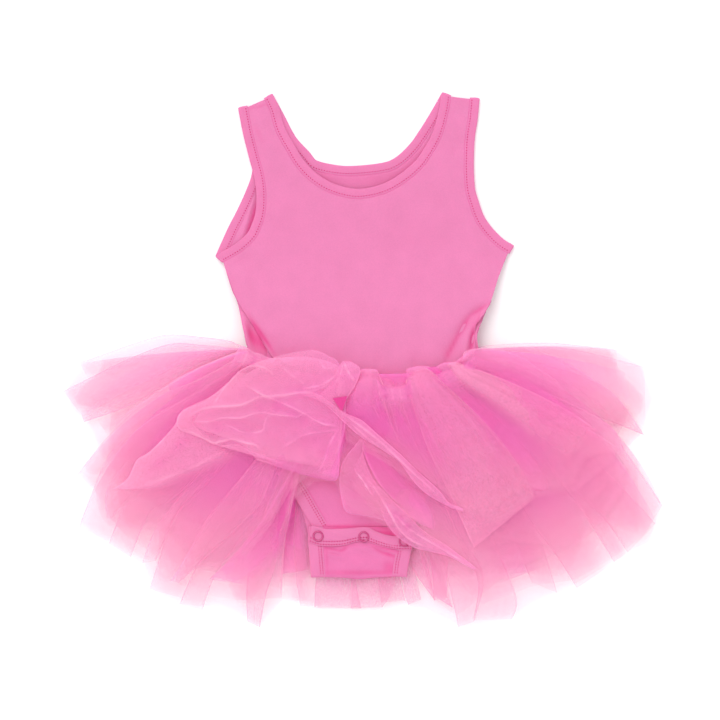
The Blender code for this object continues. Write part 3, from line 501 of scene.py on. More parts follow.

# Lifted and turned plies of the front
# A loose ply: its left and right edges as x,y from top to bottom; its heights and the depths of its colour,
# a painted shade, at the top left, top right, bottom left and bottom right; how far it crowns; its cover;
# how far from the left its height rolls over; edges that are soft; and its ridges as (half width, rise, line)
loose = {
    "liftedWing": {
        "left": [-106.5,-10.5, -132.5,-33, -152.5,-42.5, -159,-48, -163,-57.5, -183,-78.5, -194.5,-86,
            -203,-102.5, -215.5,-111.5],
        "right": [-98,-12, -117,-33, -137,-45, -141.5,-55.5, -122,-70.5, -92.5,-82.5, -130,-100, -170,-112,
            -215.5,-112],
        "heights": (33.5, 30, 32, 30), "crown": 1.5, "cover": 0.42, "soft": "r", "deeps": (0.15, 0.4, 0.0, 0.2),
        "ridges": [
            (1.2, 0.5, [-155.5,-45, -169,-62, -176.5,-73, -194.5,-88]),
            (2.4, -0.5, [-141.5,-56.5, -167.5,-82.5, -193.5,-104.5]),
            (1.6, 0.4, [-113.5,-74, -150,-94, -195.5,-109.5])]},
    "liftedFold": {
        "left": [-86.5,-0.5, -95.5,-4, -105,-8.5, -112,-15, -119.5,-23, -132,-32, -145.5,-38.5, -156.5,-45,
            -159,-58.5, -139,-67.5, -124,-74, -106.5,-73, -90.5,-86.5],
        "right": [-65.5,5.5, -54,7.5, -44,8.5, -36.5,7, -29.5,3.5, -20.5,-2.5, -15,-22, -14.5,-42, -15,-58.5,
            -19.5,-78.5, -22,-102.5, -38.5,-102, -58,-97],
        "heights": (35, 35, 36, 35), "crown": 5.0, "cover": 0.3, "deeps": (0.0, 0.15, 0.15, 0.9),
        "ridges": [
            (1.0, 0.6, [-109,-11.5, -100.5,-6, -91,-5.5, -81.5,-8.5, -75.5,-15]),
            (0.9, 0.9, [-103,-16.5, -98.5,-22.5, -90,-28, -82,-32, -72,-36, -62,-40.5, -50,-46.5, -40,-52.5,
                -31,-56, -14.5,-57]),
            (1.3, 1.0, [-159,-55, -148.5,-48, -139.5,-43, -128.5,-40.5, -117,-40, -105.5,-39, -98.5,-36.5,
                -90,-32.5, -83,-31.5, -67.5,-30.5, -56.5,-28.5, -45.5,-28.5, -36.5,-31.5, -29,-37, -22,-41.5,
                -12.5,-48.5]),
            (0.8, 0.8, [-153.5,-55.5, -146.5,-53.5, -131,-53, -121,-50, -105.5,-50, -92.5,-46, -85.5,-45.5,
                -76.5,-47, -67.5,-48, -56,-49, -50,-46, -32.5,-45]),
            (0.8, 0.7, [-75.5,-46.5, -82,-49, -85,-55, -85.5,-59.5, -91,-62, -103,-62, -114,-57, -125.5,-55]),
            (0.9, 0.5, [-72,-78.5, -61,-70.5, -50,-64.5, -34.5,-62, -15,-60]),
            (1.1, 0.9, [-156,-59.5, -145.5,-63.5, -129.5,-71.5, -123,-70.5, -112,-68.5, -101,-71.5, -92,-73.5,
                -86.5,-79, -79.5,-81.5]),
            (1.0, 0.8, [-19.5,-55.5, -22,-60.5, -29,-73.5, -33,-86, -39.5,-98.5]),
            (1.0, 0.9, [-54.5,-24.5, -45.5,-24, -35.5,-21.5, -24.5,-14.5, -19.5,-5]),
            (0.8, 0.6, [-52.5,-27.5, -42,-26.5, -34.5,-24, -25.5,-18.5]),
            (0.9, 0.45, [-71,-5, -62,-12.5, -53,-19, -47.5,-21.5]),
            (0.8, 0.5, [-37.5,1.5, -35.5,-3.5, -31.5,-7.5, -21.5,-6]),
            (0.9, 0.5, [-107.5,-10.5, -114,-18, -121,-26, -126.5,-35, -130,-40]),
            (3.0, -0.9, [-54.5,-74, -38.5,-71.5, -28.5,-88.5]),
            (2.6, -0.8, [-82,-35.5, -63,-44.5, -44,-55]),
            (2.6, -0.6, [-137,-61, -111,-57.5, -91,-67]),
            (2.6, -0.5, [-98,-42, -76,-38.5, -54.5,-35.5]),
            (3.0, -0.6, [-67.5,-22, -54.5,-28, -28.5,-26])]},
    # a small sheet in the painted shade colour, laid as the shadow in the pinch
    "pinchShade": {
        "left": [-25.5,-33, -22,-38.5, -18.5,-43.5],
        "right": [-13,-31, -15,-36.5, -17.5,-43.5],
        "heights": (37.5, 37.5, 38, 38), "crown": 0.3, "cover": 0.9, "deeps": (2.0, 2.0, 2.0, 2.0),
        "ridges": []},
    "waistRuffle": {
        "left": [-11,-28, -6.5,-19, -2,-8.5, 5,-8, 12.5,-8.5, 16.5,-14.5, 27.5,-17, 36,-15, 38,-8.5, 44,-6, 52,-5,
            57,-5.5, 62,-6.5, 70,-2.5, 79.5,-1.5, 85.5,2.5, 91,7, 99.5,10.5, 109,12],
        "right": [-16,-56.5, -10,-55.5, -2,-55, 5.5,-55, 14.5,-55.5, 23,-56.5, 31,-56.5, 39.5,-56.5, 48.5,-55.5,
            57,-54, 65.5,-52, 74.5,-49.5, 82,-46, 89,-42, 96,-36.5, 103,-31.5, 110,-25, 118,-19, 126.5,-14],
        "heights": (19, 32, 20, 29), "fade": 0.75, "crown": 2.0, "cover": 0.5, "roll": 0.22, "soft": "r",
        "deep": 0.5,
        "ridges": [
            (0.9, 0.35, [-0.5,-12, 2,-21, 4,-33]),
            (0.9, 0.35, [9,-10.5, 12.5,-21, 15,-33]),
            (1.4, -0.9, [17,-15.5, 18.5,-26, 20.5,-36.5]),
            (0.9, 0.35, [22,-17.5, 25,-26, 26.5,-36.5]),
            (0.9, 0.3, [29,-16.5, 32,-26, 34.5,-36.5]),
            (1.4, -0.9, [36,-15, 39.5,-24.5, 42,-35]),
            (0.9, 0.35, [42,-8.5, 46.5,-19, 51,-31.5]),
            (1.4, -0.9, [62,-9.5, 69,-21, 78,-31.5]),
            (0.9, 0.3, [53.5,-7, 60.5,-17.5, 67.5,-28]),
            (1.6, -0.9, [72.5,-4.5, 85,-12, 93.5,-21]),
            (1.4, -0.8, [85.5,1.5, 93.5,-5, 102,-12])]},
    "leftPinch": {
        "left": [-109,9.5, -104,12, -99.5,10.5, -94.5,7, -87.5,5, -78.5,1.5, -68.5,3.5],
        "right": [-117,-10.5, -110,-8.5, -104,-9.5, -98,-10.5, -92,-11.5, -84,-12, -72,-10.5],
        "heights": (24, 30, 24, 30), "crown": 1.5, "cover": 0.45, "roll": 0.3, "soft": "r", "deep": 0.25,
        "ridges": [
            (1.2, -0.7, [-103,10.5, -106.5,3.5, -112,-5]),
            (0.9, 0.5, [-98.5,8.5, -101.5,1.5, -105.5,-7]),
            (1.2, -0.7, [-91,5, -94.5,-1.5, -99.5,-8.5])]},
    "peak": {
        "left": [-17,-1, -20.5,-6, -23,-13, -28.5,-21, -35,-28, -40.5,-34],
        "right": [-14.5,-1, -9,-2, -2,-8, -5.5,-21, -12.5,-31.5, -19.5,-42.5],
        "heights": (33, 33, 35, 35), "crown": 2.5, "cover": 0.42,
        "ridges": [
            (0.9, 0.9, [-16.5,-1, -13.5,-8.5, -9,-15.5, -7,-20]),
            (0.8, 0.8, [-17,-2.5, -19.5,-12, -25,-22.5])]},
    "crossingBand": {
        "left": [-58,-28, -39,-34.5, -29.5,-40.5, -22,-48, -14.5,-55, -2,-66, 17,-77.5, 32,-88.5, 43,-103.5,
            54.5,-115, 73.5,-126, 86.5,-130.5],
        "right": [-44,-27, -34.5,-32, -19.5,-43, -11,-47.5, -0.5,-52, 11,-62, 34,-82.5, 47,-95.5, 56.5,-103.5,
            68,-114.5, 74.5,-123, 86.5,-128],
        "heights": (38.5, 38.5, 36.5, 36.5), "crown": 2.0, "cover": 0.34,
        "ridges": [
            (1.0, 0.8, [-28.5,-38.5, -9,-52, 15,-70.5, 41.5,-95.5, 67.5,-119]),
            (1.0, 0.6, [-15,-50.5, 6.5,-69.5, 29,-86])]},
    "crotchPly": {
        "left": [3,-63, -9,-76.5, -17,-88, -20,-103.5, -18.5,-118.5, -13.5,-131.5, 3,-135, 14.5,-137.5, 24,-142],
        "right": [4,-63, 1,-73, 1,-82.5, 5.5,-95.5, 11.5,-106, 19.5,-114, 27,-122, 35,-129, 43,-137.5],
        "heights": (33, 33, 25, 25), "crown": 4.0, "cover": 0.26,
        "ridges": [
            (1.0, 1.0, [-8.5,-95.5, -4,-99, 3,-109, 9,-118.5]),
            (2.2, -0.6, [-9,-88.5, -10,-108, -4,-124.5])]},
    "crotchRibbon": {
        "left": [-7.5,-94, 3,-109, 9,-118.5, 14.5,-125.5, 17,-134, 21,-142, 26.5,-149.5, 35,-156.5, 45.5,-162.5,
            58,-165.5, 76,-170.5, 95.5,-181],
        "right": [-0.5,-80, 5.5,-95.5, 11.5,-106, 19.5,-114, 27,-122, 35,-129, 42,-136, 49,-144, 58.5,-151.5,
            71,-159, 83,-168, 98.5,-180],
        "heights": (28.5, 29, 27, 27), "crown": 2.5, "cover": 0.36,
        "ridges": [
            (0.9, 1.1, [-5,-93, 3,-102.5, 13.5,-115.5, 24,-133, 31,-145.5, 43,-156.5, 60.5,-163.5]),
            (0.9, 0.9, [20.5,-132, 28.5,-134, 36,-142.5, 48.5,-151.5, 67.5,-162.5, 93.5,-178.5]),
            (1.4, -0.9, [25.5,-129, 34.5,-139, 43,-148])]},
}
# Broad pleats that show one by one: left and right edge as x,y, height at waist and hem, crown,
# cover and marks: l and r are edges that are folds, the others thin out softly; each ^ arches the top;
# * is coloured in painted deep shade; - is pale, with little painted shade; + grows deeper in painted shade to its
#   end
panels = {
    "backLeftTop": ([-96,9, -107,13, -117,17, -140,20, -170,22, -200,14, -228,4, -246,-2], [-96,3, -107,5, -124,9,
        -146,7, -176,0, -202,-9, -224,-16, -239,-16], 9, 3, 1, 0.17, "l"),
    "backLeftSecond": ([-96,9, -107,10, -137,13, -167,14, -203,1, -238,-16, -260,-27], [-94,3, -107,3, -128,-2,
        -159,-14, -194,-33, -224,-45, -244,-49], 11, 4, 1, 0.24, "l"),
    "backLeftThird": ([-96,9, -107,10, -137,12, -162,10, -194,-2, -226,-19, -245,-44], [-94,5, -101,9, -122,2,
        -152,-11, -185,-31, -213,-44, -242,-54], 13, 6, 2, 0.3, "r"),
    "backLeftFourth": ([-106,9, -133,2, -167,-10, -202,-28, -231,-51], [-101,3, -128,-16, -163,-37, -194,-57,
        -221,-66], 12, 4, 1, 0.2, ""),
    "frontLeftTop": ([-100,10, -122,2, -152,-12, -185,-32, -202,-44, -214,-56], [-93,-2, -117,-21, -150,-52,
        -176,-78, -202,-99, -225,-103], 26, 18, 4, 0.17, "l-"),
    "frontLeftSecond": ([-101,6, -141,-16, -176,-30, -191,-38, -223,-69, -248,-100], [-93,-10, -120,-35, -150,-61,
        -176,-83, -202,-104, -231,-115], 22, 14, 4, 0.13, "l-"),
    "frontLeftThird": ([-101,-2, -141,-26, -185,-52, -218,-80, -233,-111, -246,-145], [-91,-19, -120,-57,
        -146,-91, -167,-122, -189,-148, -217,-162], 20, 12, 4, 0.15, "l-"),
    "frontLeftFourth": ([-100,-17, -141,-44, -185,-70, -211,-96, -222,-114, -222,-135], [-87,-22, -120,-48,
        -159,-78, -189,-104, -208,-125, -218,-138], 24, 16, 3, 0.13, "lr-"),
    "frontLeftFifth": ([-98,-30, -133,-61, -167,-96, -194,-117, -208,-130, -220,-159], [-86,-39, -115,-74,
        -146,-104, -167,-122, -184,-132, -201,-171], 22, 14, 3, 0.22, "lr-"),
    "frontLeftSixth": ([-93,-39, -124,-74, -154,-113, -171,-134, -182,-151, -191,-176], [-82,-48, -111,-83,
        -141,-113, -160,-132, -174,-162, -179,-174], 23, 15, 3, 0.22, "lr-"),
    "lowLeftFirst": ([-87,-48, -115,-78, -146,-113, -167,-144, -176,-171, -185,-199], [-75,-70, -94,-104,
        -114,-139, -131,-174, -141,-196, -148,-209], 18, 8, 4, 0.2, "l-"),
    "lowLeftSecond": ([-80,-70, -107,-104, -133,-135, -150,-165, -166,-191], [-74,-89, -87,-122, -106,-143,
        -125,-161, -159,-193], 27, 20, 4, 0.28, "lr-"),
    "lowLeftThird": ([-80,-70, -102,-113, -128,-148, -149,-189, -159,-212], [-70,-87, -85,-122, -107,-157,
        -127,-185, -139,-217], 20, 9, 3, 0.22, "lr-"),
    "lowMiddleFirst": ([-67,-87, -77,-113, -87,-139, -100,-190, -100,-227], [-60,-92, -66,-122, -75,-174,
        -84,-206, -89,-232], 20, 8, 3, 0.24, "lr"),
    "lowMiddleSecond": ([-63,-89, -72,-122, -87,-157, -108,-187, -122,-209], [-55,-94, -61,-126, -67,-157,
        -69,-183, -70,-206], 22, 12, 4, 0.26, "r"),
    "lowMiddleThird": ([-56,-96, -58,-126, -60,-157, -58,-187, -54,-214], [-51,-113, -47,-139, -44,-165, -37,-191,
        -28,-212], 16, 8, 2, 0.2, "l"),
    "backRightTop": ([90,4, 98,10, 113,13, 160,15, 194,12, 221,9], [94,0, 111,7, 137,6, 176,0, 202,-12, 220,-26],
        12, 4, 1, 0.14, "l"),
    "backRightSecond": ([88,3, 102,9, 137,11, 172,11, 207,4, 245,-6], [94,-3, 128,-2, 172,-14, 207,-28, 231,-42,
        246,-59], 12, 4, 2, 0.15, "l"),
    "backRightThird": ([87,3, 114,10, 147,9, 180,-4, 213,-26, 232,-45], [90,-5, 120,-10, 154,-24, 185,-39,
        207,-57, 217,-75], 13, 6, 3, 0.3, "l"),
    "backRightFourth": ([94,2, 137,0, 181,-10, 217,-28, 244,-64], [88,-5, 128,-19, 172,-37, 214,-53, 244,-65],
        13, 7, 2, 0.24, "lr"),
    "frontRightOuter": ([83,-13, 120,-44, 159,-78, 198,-117, 228,-148, 241,-157], [94,-2, 146,-22, 211,-54,
        228,-79, 249,-109, 260,-126], 22, 12, 4, 0.22, "r"),
    "frontRightThird": ([87,-22, 128,-61, 172,-103, 207,-135, 230,-167], [97,-14, 146,-44, 198,-84, 236,-122,
        254,-142], 20, 12, 3, 0.2, "lr"),
    "frontRightSecond": ([76,-10, 120,-30, 146,-63, 173,-108, 190,-130, 218,-175], [94,-5, 133,-28, 172,-61,
        205,-106, 221,-142, 230,-167], 24, 14, 4, 0.24, "l"),
    "lowRightSecond": ([67,-22, 94,-57, 120,-96, 146,-140, 169,-171, 186,-198], [85,-17, 120,-48, 154,-83,
        185,-122, 202,-152, 218,-176], 20, 10, 4, 0.22, "l"),
    "lowRightFirst": ([59,-35, 78,-70, 102,-109, 126,-144, 147,-193], [67,-30, 98,-70, 128,-109, 154,-157,
        169,-202], 18, 8, 3, 0.2, "lr"),
    "lowRightThird": ([50,-70, 67,-113, 83,-157, 100,-191, 96,-226], [59,-61, 87,-113, 111,-152, 133,-204,
        130,-225], 20, 8, 3, 0.2, "lr"),
    "lowRightFourth": ([33,-104, 48,-139, 68,-171, 77,-204, 83,-232], [43,-96, 67,-126, 89,-157, 105,-189,
        97,-227], 17, 7, 3, 0.2, "lr"),
    "bigPleat": ([37,-17, 38,-23, 42,-36, 51,-63, 60,-85, 78,-122, 96,-162], [61,-11, 66,-17, 78,-28, 101,-50,
        121,-73, 137,-94, 149,-119], 30, 30, 9, 0.34, "lr^^"),
    "bigPleatOver": ([40,-12, 43,-22, 50,-37, 62,-61, 78,-89, 100,-124], [52,-6, 60,-10, 78,-27, 100,-48, 120,-70,
        137,-95], 32, 32, 9, 0.2, "r^"),
    "sidePleat": ([70,-7, 83,-22, 108,-41, 130,-61, 150,-83, 168,-96], [84,-3, 92,-6, 105,-10, 137,-23, 175,-42,
        202,-60], 31, 30, 6, 0.36, "r^-"),
    "sidePleatUnder": ([76,-10, 102,-31, 137,-57, 172,-78, 200,-88], [81,-3, 111,-15, 154,-35, 199,-62, 224,-78],
        29, 27, 5, 0.26, "r"),
    "waistPleatFirst": ([-2,-10, -9,-23, -15,-35, -18,-45, -9,-61], [14,-11, 18,-22, 20,-39, 26,-57, 34,-74],
        31, 30, 5, 0.3, "lr^+"),
    "waistPleatSecond": ([15,-16, 18,-24, 22,-35, 26,-47, 33,-70], [26,-17, 30,-28, 34,-42, 41,-61, 50,-83],
        31, 30, 3, 0.22, "lr^+"),
    "waistPleatFourth": ([27,-18, 31,-30, 36,-44, 43,-63], [37,-17, 39,-24, 42,-35, 52,-59],
        31, 30, 3, 0.22, "lr^+"),
    "waistPleatThird": ([3,-10, 5,-22, 8,-37, 15,-52], [10,-10, 13,-23, 19,-37, 26,-52], 32, 31, 3, 0.2, "lr^+"),
    # strips in the painted shade colour, laid where the cloth below lies in shade
    "leftGap": ([-98,9, -122,2, -152,-11, -169,-21], [-96,0, -120,-10, -150,-29, -166,-38], 15, 9, 1, 0.42, "*l"),
    "lowMiddleFourth": ([-58,-100, -63,-130, -68,-161, -71,-186], [-55,-106, -52,-129, -47,-150, -39,-181],
        12, 9, 1, 0.6, "*l"),
    "pleatShade": ([54,-7, 77,-27, 101,-50, 121,-73, 137,-94, 146,-113], [66,-5, 94,-27, 121,-49, 144,-71,
        161,-94, 168,-115], 29, 28, 1, 0.5, "*l"),
    "bandShade": ([-1,-66, 1,-80, 7,-94, 13,-105, 20,-114, 28,-122, 36,-130, 45,-139], [4,-64, 20,-81, 37,-96,
        50,-108, 62,-120, 67,-130, 69,-139, 67,-150], 26.5, 25, 1, 0.6, "*l"),
    "crotchShade": ([-21,-35, -24,-52, -28,-74, -35,-99], [-11,-37, -9,-57, -13,-78, -18,-103],
        30, 29, 1, 0.6, "*l"),
    "lowLeftShade": ([-54,-83, -72,-113, -91,-144, -114,-171, -133,-190], [-53,-96, -56,-126, -63,-157, -75,-179,
        -98,-195], 25, 16, 2, 0.4, "*l"),
    "lowRightShade": ([83,-139, 92,-161, 102,-178, 113,-196], [146,-113, 154,-135, 159,-157, 161,-178],
        19, 10, 2, 0.3, "*"),
    "centreLeft": ([-39,-171, -41,-196, -42,-215], [-7,-171, -5,-196, -1,-216], 12, 5, 1, 0.34, "lr"),
    "centreMiddle": ([-11,-171, -10,-200, -10,-216], [33,-171, 26,-200, 17,-215], 13, 5, 1, 0.3, "lr"),
    "hemFirst": ([29,-174, 34,-191, 37,-205, 40,-213], [45,-174, 47,-191, 49,-200, 51,-208], 12, 5, 1, 0.3, "lr"),
    "hemSecond": ([38,-170, 45,-184, 54,-197, 62,-208], [52,-161, 57,-178, 60,-193, 63,-209],
        13, 6, 1, 0.3, "lr"),
    "hemThird": ([48,-161, 54,-183, 62,-203, 78,-215], [67,-157, 71,-174, 74,-191, 78,-214], 13, 6, 1, 0.28, "l"),
    "hemFourth": ([-69,-157, -68,-183, -69,-207], [-47,-167, -45,-191, -43,-211], 11, 5, 1, 0.22, ""),
    "foldUnder": ([-87,-5, -108,-17, -131,-38, -145,-56, -110,-70, -87,-84], [-20,-7, -18,-26, -17,-44, -18,-61,
        -21,-80, -28,-94], 31, 31, 2, 0.45, "lr^^^"),
    "centreRight": ([10,-167, 13,-189, 16,-211], [29,-167, 33,-191, 37,-209], 12, 5, 1, 0.34, "lr"),
    "centreFold": ([54,-148, 59,-174, 62,-209], [73,-148, 74,-174, 73,-207], 14, 6, 1, 0.34, "lr"),
    "sideWaistPleat": ([87,0, 88,7, 99,10, 120,9, 146,-3, 172,-21], [78,-5, 94,-5, 111,-14, 137,-21, 159,-30,
        181,-44], 28, 26, 5, 0.26, "l^"),
}
# What loose plies and pleats share
looseGrid = {"fade": 0.45, "packedPower": 0.35, "streak": 0.06, "panelStep": 1.3, "step": 0.85, "edgeWidth": 1.1,
             "edgeCover": 0.26, "edgeLight": 0.7, "ridgeCover": 0.42, "ridgeLight": 0.3, "ridgeRise": 0.6,
             "ridgeEnds": 0.22, "troughDeep": 0.35, "troughThin": 0.25, "tail": 7.0, "tailCover": 0.24,
             "ripple": 0.35, "arch": 3.0, "archSquare": 0.6, "archFall": 5, "puffLength": 14.0, "puffDrop": 9.0,
             "hemThin": 0.35, "hemFade": 0.08, "fullness": 0.7, "narrowest": 0.0101, "areaShare": 0.98,
             "packedWidth": 0.95, "troughWidth": 2.0, "ridgeWidth": 2.4, "lightWidth": 1.6, "rollStart": 0.08,
             "rollEnd": 0.16, "mostCover": 0.95}
# How deep the colour of a loose ply is, as painted shade: as a rule, when pale, when in deep shade, and at
# the four corners of a ply that darkens to its hem; and how much a shaded ply and a pleat fade, from which
# share of their length on, over how much of it, and how a pleat starts
depths = {"usual": 0.4, "pale": 0.1, "shaded": 1.5, "hem": (0.25, 0.25, 1.25, 1.25), "shadeFade": 0.6,
          "shadeFrom": 0.35, "shadeOver": 0.65, "pleatFade": 0.8, "pleatFrom": 0.45, "pleatOver": 0.5,
          "pleatStart": 0.6, "pleatStartEnd": 0.3}


def toLine(x, y, line):
    # for every point: its distance to a line of straight stretches, the share of the line's run at the
    # nearest place, and the side of the line it is on
    best, share, side = np.full_like(x, 1e9), np.zeros_like(x), np.zeros_like(x)
    run = runOf(line)
    steps = np.diff(run)
    for k, (a, b) in enumerate(zip(line[:-1], line[1:])):
        part = np.clip(((x - a[0]) * (b[0] - a[0]) + (y - a[1]) * (b[1] - a[1])) / steps[k] ** 2, 0, 1)
        away = np.hypot(x - a[0] - part * (b[0] - a[0]), y - a[1] - part * (b[1] - a[1]))
        turn = np.sign((b[0] - a[0]) * (y - a[1]) - (b[1] - a[1]) * (x - a[0]))
        share = np.where(away < best, (run[k] + part * steps[k]) / run[-1], share)
        side = np.where(away < best, turn, side)
        best = np.minimum(away, best)
    return best, share, side


def plyHeight(shape, u, v, x, y, long):
    # Blended from its corners, less a puffed top where it is arched, plus a crown of
    # sin(pi u) ** 0.7 * sin(pi v) ** 0.5 and two slow ripples.
    h = shape["heights"]
    z = fromCorners(h, u, v)
    if "roll" in shape:
        z = z + (h[1] - h[0]) * (smooth(u / shape["roll"]) - u)
    if shape.get("arch"):
        z = z - looseGrid["puffDrop"] * (1 - smooth(v * long / looseGrid["puffLength"] + 0.15 * np.sin(np.pi * u)))
    z = z + shape["crown"] * np.sin(np.pi * u) ** 0.7 * np.sin(np.pi * np.clip(v, 0.04, 0.96)) ** 0.5
    return z + looseGrid["ripple"] * (np.sin(x * 0.21 + y * 0.13) + np.sin(x * 0.09 - y * 0.27 + 2))


def plyDeep(shape, u, v):
    # how deep the painted shade of the colour is: from the corners, or fading down the ply; a pleat is paler at
    # its top
    deep = shape.get("deep", depths["usual"])
    if "deeps" in shape:
        return fromCorners(shape["deeps"], u, v)
    if deep > 1:
        return deep * (1 - depths["shadeFade"] * smooth((v - depths["shadeFrom"]) / depths["shadeOver"])) + 0 * u
    if "folds" in shape:
        start = depths["pleatStart"] + (1 - depths["pleatStart"]) * smooth(v / depths["pleatStartEnd"])
        fade = 1 - depths["pleatFade"] * smooth((v - depths["pleatFrom"]) / depths["pleatOver"])
        return deep * start * fade + 0 * u
    return np.full_like(u * v, deep)


def addRidge(ridge, x, y, z, cover, deep):
    # A soft bell across the line, fading towards its ends.  A ridge gathers the net closer on its top
    # and on the side it leans to, with a painted highlight on top; a trough is deeper and thinner, with painted
    # shade.
    width, rise, line = ridge
    line = pointsOf(line)
    away, share, side = toLine(x, y, smoothLine(line, np.linspace(0, 1, 4 * len(line))))
    ends = smooth(np.minimum(share, 1 - share) / looseGrid["ridgeEnds"])
    ends = ends * (0.75 + 0.25 * np.sin(share * 19 + width * 40))
    tail = np.exp(-away / looseGrid["tail"]) * (side > 0)
    packed = looseGrid["ridgeCover"] * bump(away, looseGrid["packedWidth"] * width)
    packed = packed + looseGrid["tailCover"] * tail
    trough = min(rise, 0) * bump(away, looseGrid["troughWidth"] * width) * ends
    cover = cover + (1 - cover) * max(rise, 0) * ends * packed
    # painted highlight: a ridge's top is paler; painted shade: a trough's colour is deeper
    deep = deep - looseGrid["ridgeLight"] * max(rise, 0) * ends * bump(away, width)
    deep = deep - looseGrid["troughDeep"] * trough
    z = z + looseGrid["ridgeRise"] * rise * bump(away, looseGrid["ridgeWidth"] * width) * ends
    return z, cover * (1 + looseGrid["troughThin"] * trough), deep


def edged(shape, u, v, across, cover, deep):
    # Folded edges show two plies in a thin line of closer net, paled on a pleat as a painted highlight;
    # the other edges thin out.  A pleat is packed closer where it is narrow, thins at its hem and has faint
    # streaks down it.
    folds = shape.get("folds", "lr")
    for mark, share in (("l", u), ("r", 1 - u)):
        if mark in folds and mark not in shape.get("soft", ""):
            cover = cover + (1 - cover) * looseGrid["edgeCover"] * bump(share * across, looseGrid["edgeWidth"])
            if "folds" in shape:
                # painted highlight: a pleat's folded edge is paler in colour
                bright = bump(share * across, looseGrid["lightWidth"] * looseGrid["edgeWidth"])
                deep = deep * (1 - looseGrid["edgeLight"] * bright)
        else:
            cover = cover * smooth(share / shape.get("fade", looseGrid["fade"]))
    if "folds" in shape:
        streaks = np.sin(u * 17 + 2 * np.sin(u * 9 + shape["heights"][0])) * smooth(4 * v * (1.2 - v))
        cover = 1 - (1 - cover) ** (across.max() / np.maximum(across, 5)) ** looseGrid["packedPower"]
        cover = cover * (1 - looseGrid["hemThin"] * smooth((v - 1 + looseGrid["hemFade"]) / looseGrid["hemFade"]))
        cover = cover * (1 + looseGrid["streak"] * streaks)
    if "roll" in shape:
        cover = cover * smooth(v / looseGrid["rollStart"]) * smooth((1 - v) / looseGrid["rollEnd"])
    return cover, deep


def loosePly(name, shape, node=None):
    # ruled between its two edges: a point is left * (1 - u) + right * u at the same share v down them
    left, right = pointsOf(shape["left"]), pointsOf(shape["right"])
    long = max(runOf(left)[-1], runOf(right)[-1])
    wide = np.linalg.norm(left - right, axis=1).max()
    step = looseGrid["panelStep" if "folds" in shape else "step"]
    u, v = np.linspace(0, 1, int(wide / step) + 2)[None, :], np.linspace(0, 1, int(long / step) + 2)[:, None]
    leftLine, rightLine = smoothLine(left, v[:, 0]), smoothLine(right, v[:, 0])
    flat = leftLine[:, None] * (1 - u[..., None]) + rightLine[:, None] * u[..., None]
    x, y = flat[..., 0], flat[..., 1].copy()
    if shape.get("arch"):
        bulge = shape["arch"] * np.sin(np.pi * u) ** looseGrid["archSquare"]
        y = y + bulge * (1 - smooth(v * looseGrid["archFall"]))
    z, deep = plyHeight(shape, u, v, x, y, long), plyDeep(shape, u, v)
    cover = np.full_like(z, shape["cover"])
    for ridge in shape["ridges"]:
        z, cover, deep = addRidge(ridge, x, y, z, cover, deep)
    cover, deep = edged(shape, u, v, np.linalg.norm(leftLine - rightLine, axis=1)[:, None], cover, deep)
    points = np.stack([x, y, z], axis=-1)
    piece = meshOf(name, points, gridFaces(*z.shape), softTulle, flat * mm,
                   {"cover": np.clip(cover, 0, looseGrid["mostCover"]), "deep": np.clip(deep, 0, 2)})
    place(piece, node)


for name, shape in loose.items():
    loosePly(name, shape, "tulle_lifted_front" if name == "liftedFold" else None)
for name, (left, right, waistEnd, hemEnd, crown, cover, marks) in panels.items():
    shape = {"left": left, "right": right, "heights": (waistEnd, waistEnd, hemEnd, hemEnd), "crown": crown,
             "cover": cover, "ridges": [], "folds": marks.strip("^*-+"),
             "arch": looseGrid["arch"] * marks.count("^"),
             "deep": depths["shaded" if "*" in marks else "pale" if "-" in marks else "usual"]}
    if "+" in marks:
        shape["deeps"] = depths["hem"]
    loosePly(name, shape)
print("lifted plies and broad pleats laid")

# Jersey: seams, panels and bindings
# Sewing lines of the panels: x,y from shoulder to shoulder, shoulder to side, or side to crotch
seams = {
    "frontNeck": [-85,226.5, -80.5,217.5, -75,199, -66,182.5, -57,168, -44,155, -27.5,145.5, -5,140.5, 18,144.5,
        36,154, 51.5,167, 62,182, 69,196, 74.5,216, 76.5,229],
    "backNeck": [-85,226.5, -76.5,211, -65,189.5, -52.5,175.5, -45,167, -30.5,162.5, -10.5,160.5, 19,163.5,
        33.5,169.5, 47,182, 57,196, 67.5,213, 76.5,229],
    "frontArmLeft": [-100,220, -96,199, -90.5,177, -86,160.5, -84,143.5, -85,127, -88.5,115.5, -93.5,105.5,
        -104,95.5, -113.5,89.5, -121,85.5],
    "backArmLeft": [-100,220, -95.5,205, -91,189, -87.5,174, -88.5,159, -94,143.5, -102,126, -109,112.5, -116,97,
        -121,85.5],
    "armRight": [93.5,227, 92,210.5, 89.5,194, 88.5,171.5, 89.5,149.5, 92.5,137.5, 98,122, 106.5,109.5, 117,99,
        126.5,93],
    "frontSideLeft": [-121,85.5, -119,78.5, -112.5,61, -107,49, -94.5,29.5, -82,10],
    "backSideLeft": [-121,85.5, -119.5,80, -113.5,61, -108.5,49.5, -104,29.5, -99.5,10],
    "frontSideRight": [126.5,93, 118,71.5, 110.5,49, 102,36, 98,29, 98,10],
    "backSideRight": [126.5,93, 117,71.5, 110,49.5, 104,35.5, 99.5,22, 100.5,10],
    "frontLeg": [-92,-58, -78,-80, -56.5,-107.5, -44,-128, -34,-145],
    "backLeg": [-92,-58, -80,-78, -62,-98, -48,-120, -40,-145, -37,-168, -36.5,-186],
}
